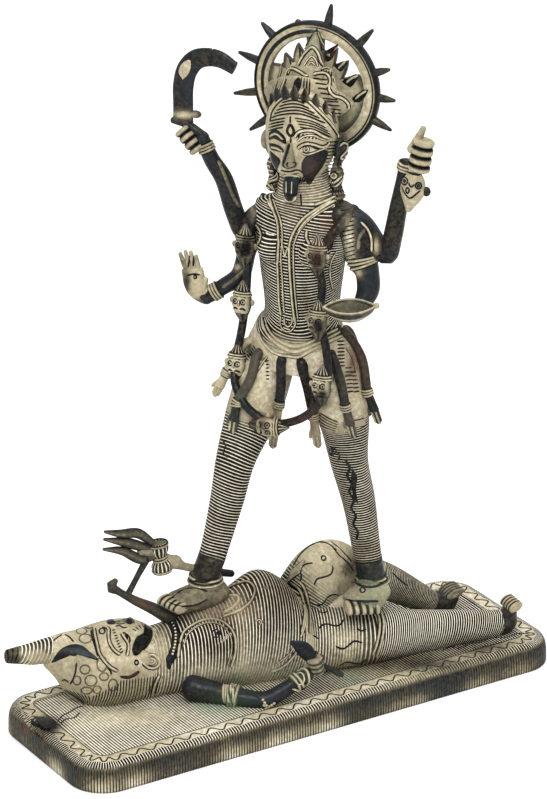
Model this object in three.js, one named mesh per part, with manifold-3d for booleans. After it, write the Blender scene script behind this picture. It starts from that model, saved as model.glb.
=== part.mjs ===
// Kali standing on Shiva, one lost-wax casting of brass on an oblong plinth.
// Millimetres, +Z up, the front along -Y, the origin at the middle of the plinth's underside.
import * as THREE from "three";
import { mergeVertices } from "three/addons/utils/BufferGeometryUtils.js";
import Module from "manifold-3d";

const wasm = await Module();
wasm.setup();

// Plinth
const PLINTH_LENGTH = 318;
const PLINTH_DEPTH = 109.5;
const PLINTH_THICKNESS = 15.3;
const PLINTH_CORNER_RADIUS = 21.6;
const PLINTH_EDGE_INSET = 5.8;
const BORDER_WIDTH = 9.5;
const BORDER_RELIEF = 0.8;

// Figures: every pose, proportion and carving is a share of the height from the plinth's top to the
// tip of the tallest spike, counted in modules as in an image maker's canon
const FIGURE_HEIGHT = 391.8;
const MODULES_HIGH = 391.8;
const MODULE = FIGURE_HEIGHT / MODULES_HIGH;
const SHIVA_TURN = 11.7;
const SHIVA_OFFSET = 8;
const KALI_TURN = 57;
const KALI_PLACE = [18.8, 8];

// Walls and wires, each its own size
const HALO_THICKNESS = 4.2;
const HALO_RIM_RADIUS = 2.2;
const CROWN_THICKNESS = 3;
const SICKLE_THICKNESS = 4.4;
const BOWL_WALL = 2;
const BANGLE_WIRE = 1.1;
const ANKLET_WIRE = 1.9;
const GARLAND_RADIUS = 2.4;
const TRIDENT_SHAFT_RADIUS = 2.6;
const COBRA_RADIUS = 2.7;
const SPIKE_ROOT_RADIUS = 1.9;

const UP = new THREE.Vector3(0, 0, 1);

/** A figure's own frame on the plinth's top: x along its first axis, y along its second, h upwards. */
function figureFrame(centreX, centreY, turnDegrees) {
  const turn = THREE.MathUtils.degToRad(turnDegrees);
  const along = new THREE.Vector3(Math.cos(turn), -Math.sin(turn), 0);
  const across = new THREE.Vector3(Math.sin(turn), Math.cos(turn), 0);
  const origin = new THREE.Vector3(centreX * MODULE, centreY * MODULE, PLINTH_THICKNESS);
  const way = (x, y, h) =>
    new THREE.Vector3().addScaledVector(along, x).addScaledVector(across, y).addScaledVector(UP, h);
  return { at: (x, y, h) => way(x, y, h).multiplyScalar(MODULE).add(origin), way };
}

// Her frame: x to her left, y to her back. His: x from head to feet, y to the far side.
const her = figureFrame(...KALI_PLACE, KALI_TURN);
const his = figureFrame(0, SHIVA_OFFSET, SHIVA_TURN);

/** A closed mesh as a solid: positions merged, empty faces dropped, faces turned outwards. */
function solid(geometry) {
  const bare = geometry.index ? geometry.toNonIndexed() : geometry.clone();
  bare.deleteAttribute("normal");
  bare.deleteAttribute("uv");
  const merged = mergeVertices(bare, 1e-4);
  const position = merged.attributes.position;
  const corner = (i) => new THREE.Vector3().fromBufferAttribute(position, i);
  const faces = [];
  let volume = 0;
  for (let i = 0; i < merged.index.count; i += 3) {
    const [a, b, c] = [merged.index.getX(i), merged.index.getX(i + 1), merged.index.getX(i + 2)];
    if (a === b || b === c || c === a) continue;
    faces.push([a, b, c]);
    volume += corner(a).dot(corner(b).cross(corner(c)));
  }
  const triVerts = new Uint32Array(faces.map(([a, b, c]) => (volume > 0 ? [a, b, c] : [a, c, b])).flat());
  const vertProperties = new Float32Array(position.array);
  return new wasm.Manifold(new wasm.Mesh({ numProp: 3, vertProperties, triVerts }));
}

/** Moves every vertex of a geometry by a function of its place. */
function mapped(geometry, place) {
  const position = geometry.attributes.position;
  const p = new THREE.Vector3();
  for (let i = 0; i < position.count; i++) {
    place(p.fromBufferAttribute(position, i));
    position.setXYZ(i, p.x, p.y, p.z);
  }
  return geometry;
}

/**
 * A limb: a unit lathe whose axis is bent along a smooth curve through its stations. A station is
 * [place, half width, half depth]; the half width lies along the "across" direction. The ends are domed.
 */
function limb(stations, { sides = 6, across = her.way(1, 0, 0), dome = 0.8 } = {}) {
  const spine = new THREE.CatmullRomCurve3(stations.map(([place]) => place), false, "centripetal");
  const rows = stations.length - 1;
  const profile = [new THREE.Vector2(0, -1)];
  for (let row = 0; row <= rows; row++) profile.push(new THREE.Vector2(1, row));
  profile.push(new THREE.Vector2(0, rows + 1));
  return solid(mapped(new THREE.LatheGeometry(profile, sides), (p) => {
    const row = Math.round(p.y);
    const t = THREE.MathUtils.clamp(row / rows, 0, 1);
    const past = Math.sign(row - t * rows);
    const [, width, depth = width] = stations[Math.round(t * rows)];
    const tangent = spine.getTangent(t);
    const wide = across.clone().addScaledVector(tangent, -across.dot(tangent)).normalize();
    const deep = new THREE.Vector3().crossVectors(tangent, wide);
    const [x, z, end] = [p.x * width, p.z * depth, past * dome * Math.min(width, depth)];
    p.copy(spine.getPoint(t)).addScaledVector(tangent, end * MODULE);
    p.addScaledVector(wide, x * MODULE).addScaledVector(deep, z * MODULE);
  }));
}

/** An ellipsoid with half sizes along a frame's own x, y and h, at a place. */
function ball(frame, place, [rx, ry, rh], { columns = 6, rows = 4 } = {}) {
  return solid(mapped(new THREE.SphereGeometry(1, columns, rows), (p) => {
    p.copy(frame.way(p.x * rx, p.z * ry, p.y * rh).multiplyScalar(MODULE)).add(place);
  }));
}

/** A flat plate cut to an outline on its frame's x and h axes, the middle of its thickness at y. */
function plate(frame, y, outline, thickness) {
  const rim = outline.map(([x, h]) => new THREE.Vector2(x, h));
  const shape = new THREE.Shape(THREE.ShapeUtils.isClockWise(rim) ? rim.reverse() : rim);
  const slab = new THREE.ExtrudeGeometry(shape, { depth: 1, bevelEnabled: false, curveSegments: 1 });
  return solid(mapped(slab, (p) => {
    const depth = frame.way(0, (p.z - 0.5) * thickness, 0);
    p.copy(frame.at(p.x, y, p.y)).add(depth);
  }));
}

/** The point at a share of the way between two places. */
const between = (a, b, share) => a.clone().lerp(b, share);

/** Three stations that swell a limb into a ribbed band: from a, over a band of a radius, on to b. */
function band(a, b, middle, limbRadius, bandRadius, reach) {
  const step = b.clone().sub(a).normalize().multiplyScalar(reach * MODULE);
  const [before, after] = [middle.clone().sub(step), middle.clone().add(step)];
  return [[before, limbRadius], [middle, bandRadius], [after, limbRadius]];
}

/** A row of rounded ribs side by side, such as toes or folded fingers: a limb that swells at each rib. */
function ribs(from, to, count, [across, deep], axis) {
  const stations = [];
  for (let i = 0; i <= 2 * count - 2; i++) {
    const swell = i % 2 ? 0.72 : 1;
    stations.push([between(from, to, i / (2 * count - 2)), across * swell, deep * swell]);
  }
  return limb(stations, { sides: 4, across: axis, dome: 0.5 });
}

/** Points of an arc in a plate's own plane, angles in degrees clockwise from straight up. */
function arc([x, h], radius, from, to, count) {
  return Array.from({ length: count + 1 }, (_, i) => {
    const angle = THREE.MathUtils.degToRad(from + ((to - from) * i) / count);
    return [x + radius * Math.sin(angle), h + radius * Math.cos(angle)];
  });
}

/** The plinth: a slab with round corners, a rounded upper edge and a border that stands a little proud. */
function plinth() {
  const halfLength = PLINTH_LENGTH / 2;
  const halfDepth = PLINTH_DEPTH / 2;
  const coreX = halfLength - PLINTH_CORNER_RADIUS;
  const coreY = halfDepth - PLINTH_CORNER_RADIUS;
  const slab = (inset, bottom, top, edge, levels) => {
    const radius = PLINTH_CORNER_RADIUS - inset;
    const shape = new THREE.Shape();
    shape.absarc(coreX, coreY, radius, 0, Math.PI / 2);
    shape.absarc(-coreX, coreY, radius, Math.PI / 2, Math.PI);
    shape.absarc(-coreX, -coreY, radius, Math.PI, Math.PI * 1.5);
    shape.absarc(coreX, -coreY, radius, Math.PI * 1.5, Math.PI * 2);
    const block = new THREE.ExtrudeGeometry(shape,
      { depth: 1, steps: levels, bevelEnabled: false, curveSegments: 3 });
    return solid(mapped(block, (p) => {
      const core = new THREE.Vector2(
        THREE.MathUtils.clamp(p.x, -coreX, coreX), THREE.MathUtils.clamp(p.y, -coreY, coreY));
      const out = new THREE.Vector2(p.x, p.y).sub(core).normalize();
      const drawn = radius - edge * (1 - Math.sqrt(1 - p.z ** 4));
      p.set(core.x + out.x * drawn, core.y + out.y * drawn, bottom + (top - bottom) * p.z);
    }));
  };
  const border = PLINTH_EDGE_INSET + BORDER_WIDTH;
  const body = slab(0, 0, PLINTH_THICKNESS + BORDER_RELIEF, PLINTH_EDGE_INSET, 3);
  const field = slab(border, PLINTH_THICKNESS, PLINTH_THICKNESS + 2 * BORDER_RELIEF, 0, 1);
  return [body.subtract(field)];
}

/** Shiva lying on his back: hair, face, trunk, legs and both arms, sunk into the plinth's top. */
function shiva() {
  const along = { across: his.way(0, 1, 0) };
  const lying = (x, y, halfWidth, top) => [his.at(x, y, top * 0.42), halfWidth, top * 0.58];
  const nearArm = [[-60, -27, 8], [-42, -37.5, 5], [-24, -47.5, 3.6], [-13, -49.5, 8.5], [2, -48, 15.5]]
    .map((place) => his.at(...place));
  return [
    // bun, cap of hair, throat, chest, belly, hips and the near leg in one sweep
    limb([[his.at(-161, -1, 33), 4], [his.at(-147, -0.5, 32), 6.4], [his.at(-134, 0, 31), 8.8],
      lying(-126, 1, 14, 39), lying(-116, 0, 22, 43), lying(-102, -1, 25, 43.5),
      lying(-86, -1, 22, 36), lying(-68, -1, 21, 37), lying(-50, 0, 28, 44), lying(-32, 0, 28.5, 48),
      lying(-12, 0, 29, 59.5), lying(3, 0, 28.5, 52), lying(16, -1, 27, 37), lying(34, -4, 23.5, 31),
      lying(60, -8, 17, 28), lying(84, -8.5, 12.5, 23.5), lying(110, -8, 10, 19),
      lying(138, -7, 8, 14)], { ...along, sides: 11, dome: 0.4 }),
    limb([[his.at(-107, -1, 30), 14, 11], [his.at(-98, -1, 30), 16, 13.6], [his.at(-85, -1, 30), 14.5, 12],
      [his.at(-75, -1, 29), 8, 7]], { ...along, sides: 8 }),
    limb([[his.at(-97, -1, 42), 2], [his.at(-88, -1, 41.5), 3.4]], { ...along, sides: 4 }),
    ball(his, his.at(-43, -13.5, 30), [15.5, 11.5, 12], { columns: 8, rows: 5 }),
    ball(his, his.at(-36, 12, 36), [20, 11, 10], { columns: 8, rows: 5 }),
    // near foot, sole against the air, toes up
    limb([[his.at(135, -7, 6), 7.5, 6.5], [his.at(143, -7.5, 7), 6.5, 7], [his.at(145.5, -8, 15), 6.4, 4.2],
      [his.at(146, -8, 19), 6.6, 2.8]], { ...along, dome: 0.4 }),
    ribs(his.at(147, -13, 23), his.at(147, -2.6, 20), 5, [2, 3.4], UP),
    // far leg with the knee drawn up under the cloth, and its foot
    limb([[his.at(12, 10, 18), 17, 14], [his.at(24, 12, 38), 16, 17], [his.at(37, 13, 49), 14.5, 17.5],
      [his.at(52, 14, 43), 12.5, 14], [his.at(74, 15, 34), 11], [his.at(96, 16, 20), 8.4],
      [his.at(110, 17, 11), 6.4], [his.at(126, 16, 12), 6.6, 4.6]], { ...along, sides: 9 }),
    ribs(his.at(129.5, 11, 14), his.at(127.5, 20.5, 14), 5, [5, 2.4], his.way(1, 0, 0.3)),
    // near arm laid along the plinth with armlet and bangles, its fist round a leaf-shaped blade's handle
    limb([[nearArm[0], 7.5],
      ...band(nearArm[0], nearArm[1], between(nearArm[0], nearArm[2], 0.6), 5.8, 8, 2),
      [nearArm[2], 5], ...band(nearArm[3], nearArm[4], between(nearArm[3], nearArm[4], 0.6), 4.3, 5.6, 1.8),
      [nearArm[4], 4]], { across: his.way(0.4, 1, 0) }),
    ribs(his.at(6, -48, 24.5), his.at(8, -46.5, 16.5), 4, [4.6, 5], his.way(1, 0, 0)),
    limb([[his.at(6, -47, 23), 3.4, 3], [his.at(0, -46, 31), 4.2, 2.4], [his.at(-7, -45, 36), 1, 0.9]],
      { across: his.way(1, 0, 1), sides: 4 }),
    limb([[his.at(9, -46, 21), 1.8], [his.at(25, -45.5, 9), 1.2]], { ...along, sides: 4 }),
    // far arm, down along the far side
    limb([[his.at(-58, 27, 9), 7.5, 8], [his.at(-38, 33, 5), 6], [his.at(-12, 35, 3), 5],
      [his.at(10, 33, 2.4), 5, 3.6], [his.at(22, 32, 1.6), 3.5, 2]], { ...along, sides: 5 }),
    ...[-1, 1].map((side) => ball(his, his.at(-86, -1 + side * 16.5, 25), [5, 4.5, 6.5])),
  ];
}

/** The cobra rising from his neck, and the trident and drum that its strut and her ankle hold up. */
function cobraAndTrident() {
  const rod = (x, y, z) => new THREE.Vector3(x * MODULE, y * MODULE, PLINTH_THICKNESS + z * MODULE);
  const shaft = TRIDENT_SHAFT_RADIUS / MODULE;
  const cobra = COBRA_RADIUS / MODULE;
  const drum = rod(-66.5, 26, 80.5);
  const drumAxis = new THREE.Vector3(-0.28, 0, 1);
  const on = (reach) => drum.clone().addScaledVector(drumAxis, reach * MODULE);
  const five = { sides: 5 };
  return [
    limb([[his.at(-62, 3, 38), cobra * 1.6], [his.at(-72, 2, 46), cobra * 1.35],
      [his.at(-84, 1, 54), cobra], [his.at(-95, 0, 62.5), cobra * 0.85],
      [his.at(-98.5, 0, 65.5), 3.4, 3], [his.at(-96, 0, 69), 1.6]], five),
    limb([[his.at(-89, 1, 57.5), 1.9], [rod(-75, 26, 77), 2.1]], { sides: 4 }),
    limb([[rod(-36, 24, 62), shaft], [rod(-52, 25, 69), shaft], [rod(-56, 25.5, 72), shaft * 1.6],
      [rod(-60, 26, 75), shaft * 0.95], [rod(-69, 26, 81), shaft * 1.2], [rod(-78, 26, 84), shaft]], five),
    limb([[rod(-34, 26, 61), shaft], [rod(-17, 28, 54), shaft * 0.8]], { sides: 4 }),
    limb([[on(-8.4), 5.6, 5], [on(0), 3, 3], [on(8.4), 5.6, 5]], { sides: 6, dome: 0.3 }),
    // prongs: two bowed outer ones and a straight middle one
    limb([[rod(-71, 26, 88), 2.2, 2], [rod(-80, 26, 95.5), 3, 2.4], [rod(-91, 26, 98), 2.4, 2.4],
      [rod(-101, 26, 101.5), 0.9]], { sides: 4 }),
    limb([[rod(-71, 26, 83), 2.6, 2.2], [rod(-86, 26, 91), 3, 2.4], [rod(-101.5, 26, 97), 0.9]],
      { sides: 4 }),
    limb([[rod(-70, 26, 79), 2.6, 2.2], [rod(-78, 26, 79), 3, 2.4], [rod(-90, 26, 87), 2.6, 2.4],
      [rod(-102, 26, 91), 0.9]], { sides: 4 }),
  ];
}

/** Her legs with the cloth over the thighs, anklets and feet, one foot on his chest, one on his thigh. */
function legs() {
  const anklet = (ankle) => [[ankle.clone().addScaledVector(UP, 3.2 * MODULE), 8.2],
    [ankle, 9.6 + (2 * ANKLET_WIRE) / MODULE], [ankle.clone().addScaledVector(UP, -3 * MODULE), 9.4]];
  const right = {
    ankle: her.at(-41.8, -42, 58.5), heel: her.at(-36, -36, 50), ball: her.at(-50.5, -60, 51.5),
    toes: [her.at(-58.5, -62, 52), her.at(-44.5, -66, 50.5)], row: her.way(0.8, -0.25, -0.05),
  };
  const left = {
    ankle: her.at(32.7, 24.5, 45), heel: her.at(37, 31, 32), ball: her.at(34, 8, 34.5),
    toes: [her.at(30, -3.5, 34.5), her.at(39.5, 8, 31)], row: her.way(0.62, 0.75, -0.25),
  };
  const forms = [
    limb([[her.at(-20, -2, 184), 15, 17], [her.at(-23.8, -9, 163), 15.4, 16.5],
      [her.at(-27, -14.5, 149), 14.4, 14.6], [her.at(-31.3, -23.4, 128), 11.4],
      [her.at(-34.2, -28.7, 105), 9.8], [her.at(-38.8, -38, 74), 8],
      ...anklet(right.ankle)], { sides: 9, dome: 0.2 }),
    limb([[her.at(18, 1, 184), 16, 17], [her.at(21, 5, 163), 16.6, 16.5],
      [her.at(22.4, 8, 149), 14.2, 14.6], [her.at(24, 11.1, 124.5), 11],
      [her.at(27.6, 16.8, 98), 9.6], [her.at(31, 22, 63), 8.2],
      ...anklet(left.ankle)], { sides: 9, dome: 0.2 }),
  ];
  for (const foot of [right, left]) {
    forms.push(
      limb([[foot.heel, 8, 7], [between(foot.heel, foot.ball, 0.45), 8.6, 8.4], [foot.ball, 9, 4.6]],
        { sides: 8, across: foot.row, dome: 0.7 }),
      ribs(...foot.toes, 5, [3.6, 2.4], foot.ball.clone().sub(foot.heel).normalize()));
  }
  return forms;
}

/** Her trunk with the short cloth round the hips, neck, head, nose, tongue, ears and earrings. */
function trunkAndHead() {
  const forms = [
    limb([[her.at(-0.5, 0, 183), 34, 17.5], [her.at(-0.5, 0, 195), 33, 19],
      [her.at(-0.5, -0.5, 206), 27.5, 18], [her.at(0, -1, 214), 22.6, 16.5],
      [her.at(0, -1.5, 242), 24.6, 17], [her.at(0, -1, 256), 27, 17], [her.at(0.5, 0, 268), 30, 15.5],
      [her.at(1.5, 0.5, 278), 28.5, 13], [her.at(1.5, 0.5, 285), 19, 12.5],
      [her.at(0.5, 0, 294), 15, 12], [her.at(0, 0, 306), 14, 12]], { sides: 11, dome: 0.25 }),
    limb([[her.at(0, -5, 294), 7, 6], [her.at(0, -4.5, 300), 13, 11], [her.at(0, -4, 308), 18, 14],
      [her.at(0, -2.5, 319), 20.6, 16.2], [her.at(0, -1, 331), 20, 16.4], [her.at(0, 1.5, 341), 15, 13],
      [her.at(0, 4, 347), 7, 7]], { sides: 12, dome: 0.4 }),
    // back of the head, which carries the halo
    limb([[her.at(0, 5, 312), 13, 8], [her.at(0, 8, 324), 16, 9], [her.at(0, 9, 338), 15, 8.6]],
      { sides: 8 }),
    // nose and tongue
    limb([[her.at(0, -15, 327), 1.8, 1.6], [her.at(0, -18.5, 316), 2.6, 2.4],
      [her.at(0, -19, 309), 4.2, 3.2]], { sides: 5 }),
    limb([[her.at(0, -13.5, 303), 4.2, 2.4], [her.at(0, -16.5, 294), 4.2, 2],
      [her.at(0, -17, 288), 3, 1.6]], { sides: 5 }),
  ];
  for (const side of [-1, 1]) {
    forms.push(limb([[her.at(side * 22, 2, 321), 3.6], [her.at(side * 22, 2, 313), 4],
      [her.at(side * 20, 1, 306), 2.6, 3], [her.at(side * 20, 1, 300), 4.2, 4],
      [her.at(side * 20.5, 1, 293), 2.4, 3], [her.at(side * 21, 1, 287), 4, 4.2]]));
  }
  return forms;
}

/** The halo: a rimmed band, a disc pierced above the crown, and tapering spikes, one broken off. */
function halo() {
  const centre = [0, 342.3];
  const reach = 37.9;
  const opening = 28.6;
  const y = 18;
  // a point of the halo's plane from its [angle, radius] about the centre
  const polar = ([angle, radius]) => arc(centre, radius, angle, angle, 1)[0];
  // the opening's lower edge: flame tips and the notches between them, from left to right
  const left = [[-64, 22], [-48, 26], [-50, 18], [-25.5, 26.6], [-23, 19], [-13, 23]];
  const right = [[10, 23], [19, 17], [27.3, 27], [37, 17.9], [47, 25.8], [66, 17.4], [67, 26.8],
    [94, 20.6], [94, 26]];
  // the disc's outline runs inside the band, and leaves it along the flames
  const buried = opening + 2;
  const disc = [...arc(centre, buried, 80, 300, 11), ...left.map(polar),
    ...arc(centre, buried, -11.5, 8.5, 1), ...right.map(polar)];
  const half = HALO_THICKNESS / 2;
  const rim = HALO_RIM_RADIUS;
  const section = [[opening, -half], [reach - 2 * rim, -half], [reach - rim, -rim * 1.3], [reach, 0],
    [reach - rim, rim * 1.3], [reach - 2 * rim, half], [opening, half], [opening, -half]];
  const band = new THREE.LatheGeometry(section.map(([r, d]) => new THREE.Vector2(r, d)), 22);
  const forms = [
    solid(mapped(band, (p) => {
      const depth = her.way(0, p.y, 0);
      p.copy(her.at(centre[0] + p.x, y, centre[1] + p.z)).add(depth);
    })),
    plate(her, y, disc, HALO_THICKNESS - 1),
  ];
  const spikes = [[10, 49.7], [42, 50.5], [70, 47], [92, 47.6], [113, 49.3], [-127, 52], [-102, 52.6],
    [-74, 50.3], [-46, 47.4], [-18, 39.4]];
  const onRing = (angle, radius) => her.at(polar([angle, radius])[0], y, polar([angle, radius])[1]);
  for (const [angle, length] of spikes) {
    const root = [onRing(angle, reach - 1.4), SPIKE_ROOT_RADIUS / MODULE, 1.4];
    forms.push(limb([root, [onRing(angle, length), 0.7]], { sides: 4, across: her.way(0, 1, 0) }));
  }
  return forms;
}

/** The crown: a curved band round the brow, a tall middle leaf and small petals along the hairline. */
function crown() {
  const band = [];
  const count = 6;
  for (let i = 0; i <= count; i++) {
    const angle = THREE.MathUtils.degToRad(-74 + (148 * i) / count);
    const place = her.at(22 * Math.sin(angle), 11 - 14 * Math.cos(angle),
      333 + 14 * Math.cos(angle) ** 1.2);
    band.push([place, CROWN_THICKNESS / MODULE, 7.5]);
  }
  const forms = [
    limb(band, { sides: 6, across: her.way(0, 1, 0) }),
    limb([[her.at(0, 1, 343), 8.5, 3], [her.at(0, 6, 354), 9.5, 2.4], [her.at(0, 12, 364), 5, 2.4],
      [her.at(0, 16.5, 374), 1, 1.4]]),
  ];
  for (let i = 0; i < 9; i++) {
    const angle = THREE.MathUtils.degToRad(-72 + 18 * i);
    const [x, y] = [18 * Math.sin(angle), 1.5 - 12.5 * Math.cos(angle)];
    const h = 322 + 22.5 * Math.cos(angle) ** 0.9;
    const tip = her.at(x * 1.12, y * 1.05, h + 7.5);
    forms.push(limb([[her.at(x, y, h), 1.9, 1.5], [tip, 0.8]], { sides: 4 }));
  }
  return forms;
}

/** Her four arms with what they hold: sickle, open hand, severed head and bowl. */
function arms() {
  const rod = { across: her.way(0, 1, 0) };
  const wrist = (elbow, hand, share, radius) =>
    band(elbow, hand, between(elbow, hand, share), radius, radius + (2 * BANGLE_WIRE) / MODULE, 2.6);
  const rightElbow = her.at(-42.5, 0.5, 268);
  const rightHand = her.at(-62, -1, 310);
  const openElbow = her.at(-36.5, -6, 233);
  const openHand = her.at(-54, -14, 220);
  const leftElbow = her.at(54, 0, 267);
  const leftHand = her.at(63, -2, 312);
  const lowerShoulder = her.at(37, 0, 256);
  const lowerElbow = her.at(38.5, -1, 244);
  const forms = [
    // right arms
    limb([[her.at(-20, 0, 276), 9, 8], [her.at(-30, 1, 268), 6.6], [her.at(-37, 1, 257), 5.6, 5.4],
      [rightElbow, 5.4], [her.at(-49, 0, 287), 5.1], ...wrist(rightElbow, rightHand, 0.78, 4.4),
      [rightHand, 4]], rod),
    limb([[her.at(-27, -1, 266), 7], [her.at(-33, -3, 248), 5.4], [openElbow, 5.4],
      ...wrist(openElbow, openHand, 0.7, 4.5), [openHand, 4.4]], rod),
    // open palm with four fingers up and the thumb
    limb([[her.at(-52, -14, 219.5), 4.6, 3.6], [her.at(-58.5, -14.5, 225), 6.4, 3],
      [her.at(-61.5, -14.5, 236), 6, 2.2]], { across: her.way(1, 0, 0.25), dome: 0.2 }),
    limb([[her.at(-55, -15, 224), 2], [her.at(-52.2, -17, 232), 1.5]], { sides: 4 }),
    // left arms
    limb([[her.at(22, 0, 277), 9, 8], [her.at(34, 1, 271), 8.6, 7.6], [her.at(44.5, 1, 261), 6.6, 6.2],
      [her.at(51, 0.5, 257), 5.4], [leftElbow, 5.4], [her.at(58, -1, 287), 5],
      ...wrist(leftElbow, leftHand, 0.84, 4.5), [leftHand, 4.5]], rod),
    limb([[her.at(29, 0, 268), 9, 8], [lowerShoulder, 7.6, 7],
      ...band(lowerShoulder, lowerElbow, between(lowerShoulder, lowerElbow, 0.6), 6.8, 8.4, 2),
      [her.at(38.5, -3, 237), 6.6], [her.at(37, -9, 228), 5.6, 5],
      [her.at(38, -22, 223.6), 5.5, 2.6]], rod),
    // fists round the sickle's handle and the hair of the severed head
    ribs(her.at(-72.5, -3.5, 313), her.at(-63.5, -3.5, 303.5), 4, [4.6, 5.2], her.way(0.7, 0, 0.7)),
    ribs(her.at(71, -4, 312), her.at(73.5, -4, 327.5), 4, [6.4, 5.4], her.way(1, 0, 0)),
    limb([[her.at(67, -3, 322), 3.4, 3.4], [her.at(73, -3, 335), 1.6, 1.6]], { sides: 4 }),
    // severed head hanging from the fist, and its ear
    limb([[her.at(69, -6, 311), 2.4], [her.at(69, -6, 304), 5.2, 4.4],
      [her.at(68.5, -7, 297), 5.6, 4.6], [her.at(66, -7, 288), 2]]),
    ball(her, her.at(75, -6, 301), [2.8, 2, 2.6], { columns: 4, rows: 3 }),
  ];
  for (let finger = 0; finger < 4; finger++) {
    const root = her.at(-57.5 - finger * 2.7, -14.5, 234.5);
    const tip = her.at(-59.5 - finger * 3.3, -14.5, 243.5 + [0.5, 2.5, 2.2, 0.5][finger]);
    forms.push(limb([[root, 1.6], [tip, 1.1]], { sides: 4 }));
  }
  return forms;
}

/** The sickle: a flat C-shaped blade with a straight cut end, a knobbed guard and its handle. */
function sickle() {
  const rod = { across: her.way(0, 1, 0) };
  const outer = [[-80, 317], [-80, 338], [-78.4, 346], [-74.5, 353.6], [-67.5, 359.2], [-60, 361.6],
    [-50.7, 361.2], [-39.5, 356.2]];
  const inner = [[-44, 348.6], [-51, 352], [-60, 350.8], [-65.2, 345.4], [-67.6, 337], [-67.6, 317]];
  return [
    plate(her, 0, [...outer, ...inner], SICKLE_THICKNESS),
    limb([[her.at(-79.5, -1, 317.5), 2], [her.at(-70, -1.5, 316), 2.4], [her.at(-60, -1, 310), 2.8]],
      { ...rod, sides: 5 }),
    limb([[her.at(-69, 0, 321), 2.4], [her.at(-63, 0, 323.4), 1.6]], { ...rod, sides: 4 }),
  ];
}

/** The bowl: a shallow dish with walls, pinched to a point at both ends, carried on the lower left hand. */
function bowl() {
  const depth = 7.5 * MODULE;
  const halfLength = 15 * MODULE;
  const halfWidth = 10.5 * MODULE;
  const profile = [[0, -depth], [0.6, -depth * 0.82], [1, 0]];
  const inside = profile.map(([r, z]) => [Math.max(0, r - BOWL_WALL / halfWidth), z + BOWL_WALL * (1 - r)])
    .reverse();
  const outline = [...profile, ...inside].map(([r, z]) => new THREE.Vector2(r, z));
  const centre = her.at(39, -22, 232.5);
  const long = her.way(0.88, 0.42, 0.02).normalize();
  const wide = new THREE.Vector3().crossVectors(UP, long).normalize();
  return [solid(mapped(new THREE.LatheGeometry(outline, 12), (p) => {
    const angle = Math.atan2(p.z, p.x);
    const pinch = 1 - 0.3 * Math.cos(angle) ** 2 * Math.abs(Math.sin(angle));
    const [x, z, h] = [p.x * halfLength * pinch, p.z * halfWidth * pinch, p.y];
    p.copy(centre).addScaledVector(long, x).addScaledVector(wide, z).addScaledVector(UP, h);
  }))];
}

/** One small crowned and bearded head of the garland, hanging along a direction. */
function garlandHead(place, down, face) {
  const side = new THREE.Vector3().crossVectors(down, face).normalize();
  const on = (d, f) => place.clone().addScaledVector(down, d * MODULE).addScaledVector(face, f * MODULE);
  return limb([[on(-9.5, 0), 0.8], [on(-5.5, 0.3), 3.4, 2.8], [on(-0.5, 1.2), 4.7, 4],
    [on(4.5, 1.2), 3.9, 3.2], [on(8.5, 0.6), 1.2]], { sides: 5, across: side });
}

/** The garland: a round cord over both shoulders and down in front of the thighs, with heads along it. */
function garland() {
  const route = [[30, 4, 280], [28, -10, 276], [23, -18, 267], [18.6, -20, 257], [20.6, -19.5, 240],
    [19.6, -20.5, 222], [24, -21, 203], [25.5, -22.5, 188], [22, -23.5, 174], [11, -25, 161],
    [-6, -25, 154.5], [-19, -22, 158], [-29, -18, 171], [-34, -15, 185], [-31.5, -14, 204],
    [-29, -14, 222], [-28, -13.5, 240], [-28, -12, 256], [-27, -6, 270], [-24, 4, 280]];
  const cord = route.map((place) => [her.at(...place), GARLAND_RADIUS / MODULE]);
  const forms = [limb(cord, { sides: 5, across: her.way(0.4, 1, 0) })];
  const down = her.way(0, 0, -1);
  const front = her.way(0, -1, 0);
  const places = [[18.7, -21.5, 258.5], [19.5, -22, 220.5], [23, -24, 183], [-33, -16.5, 184],
    [-29.5, -16.5, 222], [-28.5, -15, 255]];
  for (const place of places) forms.push(garlandHead(her.at(...place), down, front));
  forms.push(garlandHead(her.at(-9, -27, 154.5), her.way(-1, 0, -0.06), front));
  return forms;
}

/** The girdle of severed arms hanging from the hips. */
function girdleArms() {
  // [shoulder end, wrist, finger tips] of each arm in her frame, the last three behind
  const hanging = [
    [[-27, -14, 198], [-37, -21, 176], [-43, -23, 164]],
    [[-27, -15, 180], [-33.5, -21, 164], [-35, -21, 149]],
    [[-9, -17, 192], [-8.5, -24, 163], [-10.5, -26, 140]],
    [[5, -16, 190], [12, -17, 166], [16.5, -18, 141]],
    [[16, -15, 204], [27.5, -16, 171], [34.5, -16, 153]],
    [[17, -9, 206], [37, -8, 174], [45, -7, 158]],
    [[26, 8, 204], [34, 18, 172], [36, 20, 151]],
    [[0, 16, 200], [2, 20, 172], [3, 20, 151]],
    [[-22, 9, 204], [-31, 16, 172], [-32.5, 17, 151]],
  ];
  return hanging.flatMap((points) => {
    const [a, b, c] = points.map((p) => her.at(...p));
    const arm = [[a, 2.8, 2.2], [between(b, c, -0.16), 2.6, 2.2], [b, 3.8, 3.4],
      [between(b, c, 0.2), 2.7, 2.1], [between(b, c, 0.6), 3.2, 2], [c, 1.6, 1.2]];
    const thumb = between(b, c, 0.7).addScaledVector(her.way(1, 0, 0), 4 * MODULE);
    return [limb(arm, { sides: 5 }), limb([[between(b, c, 0.3), 1.6], [thumb, 0.9]], { sides: 4 })];
  });
}

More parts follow.
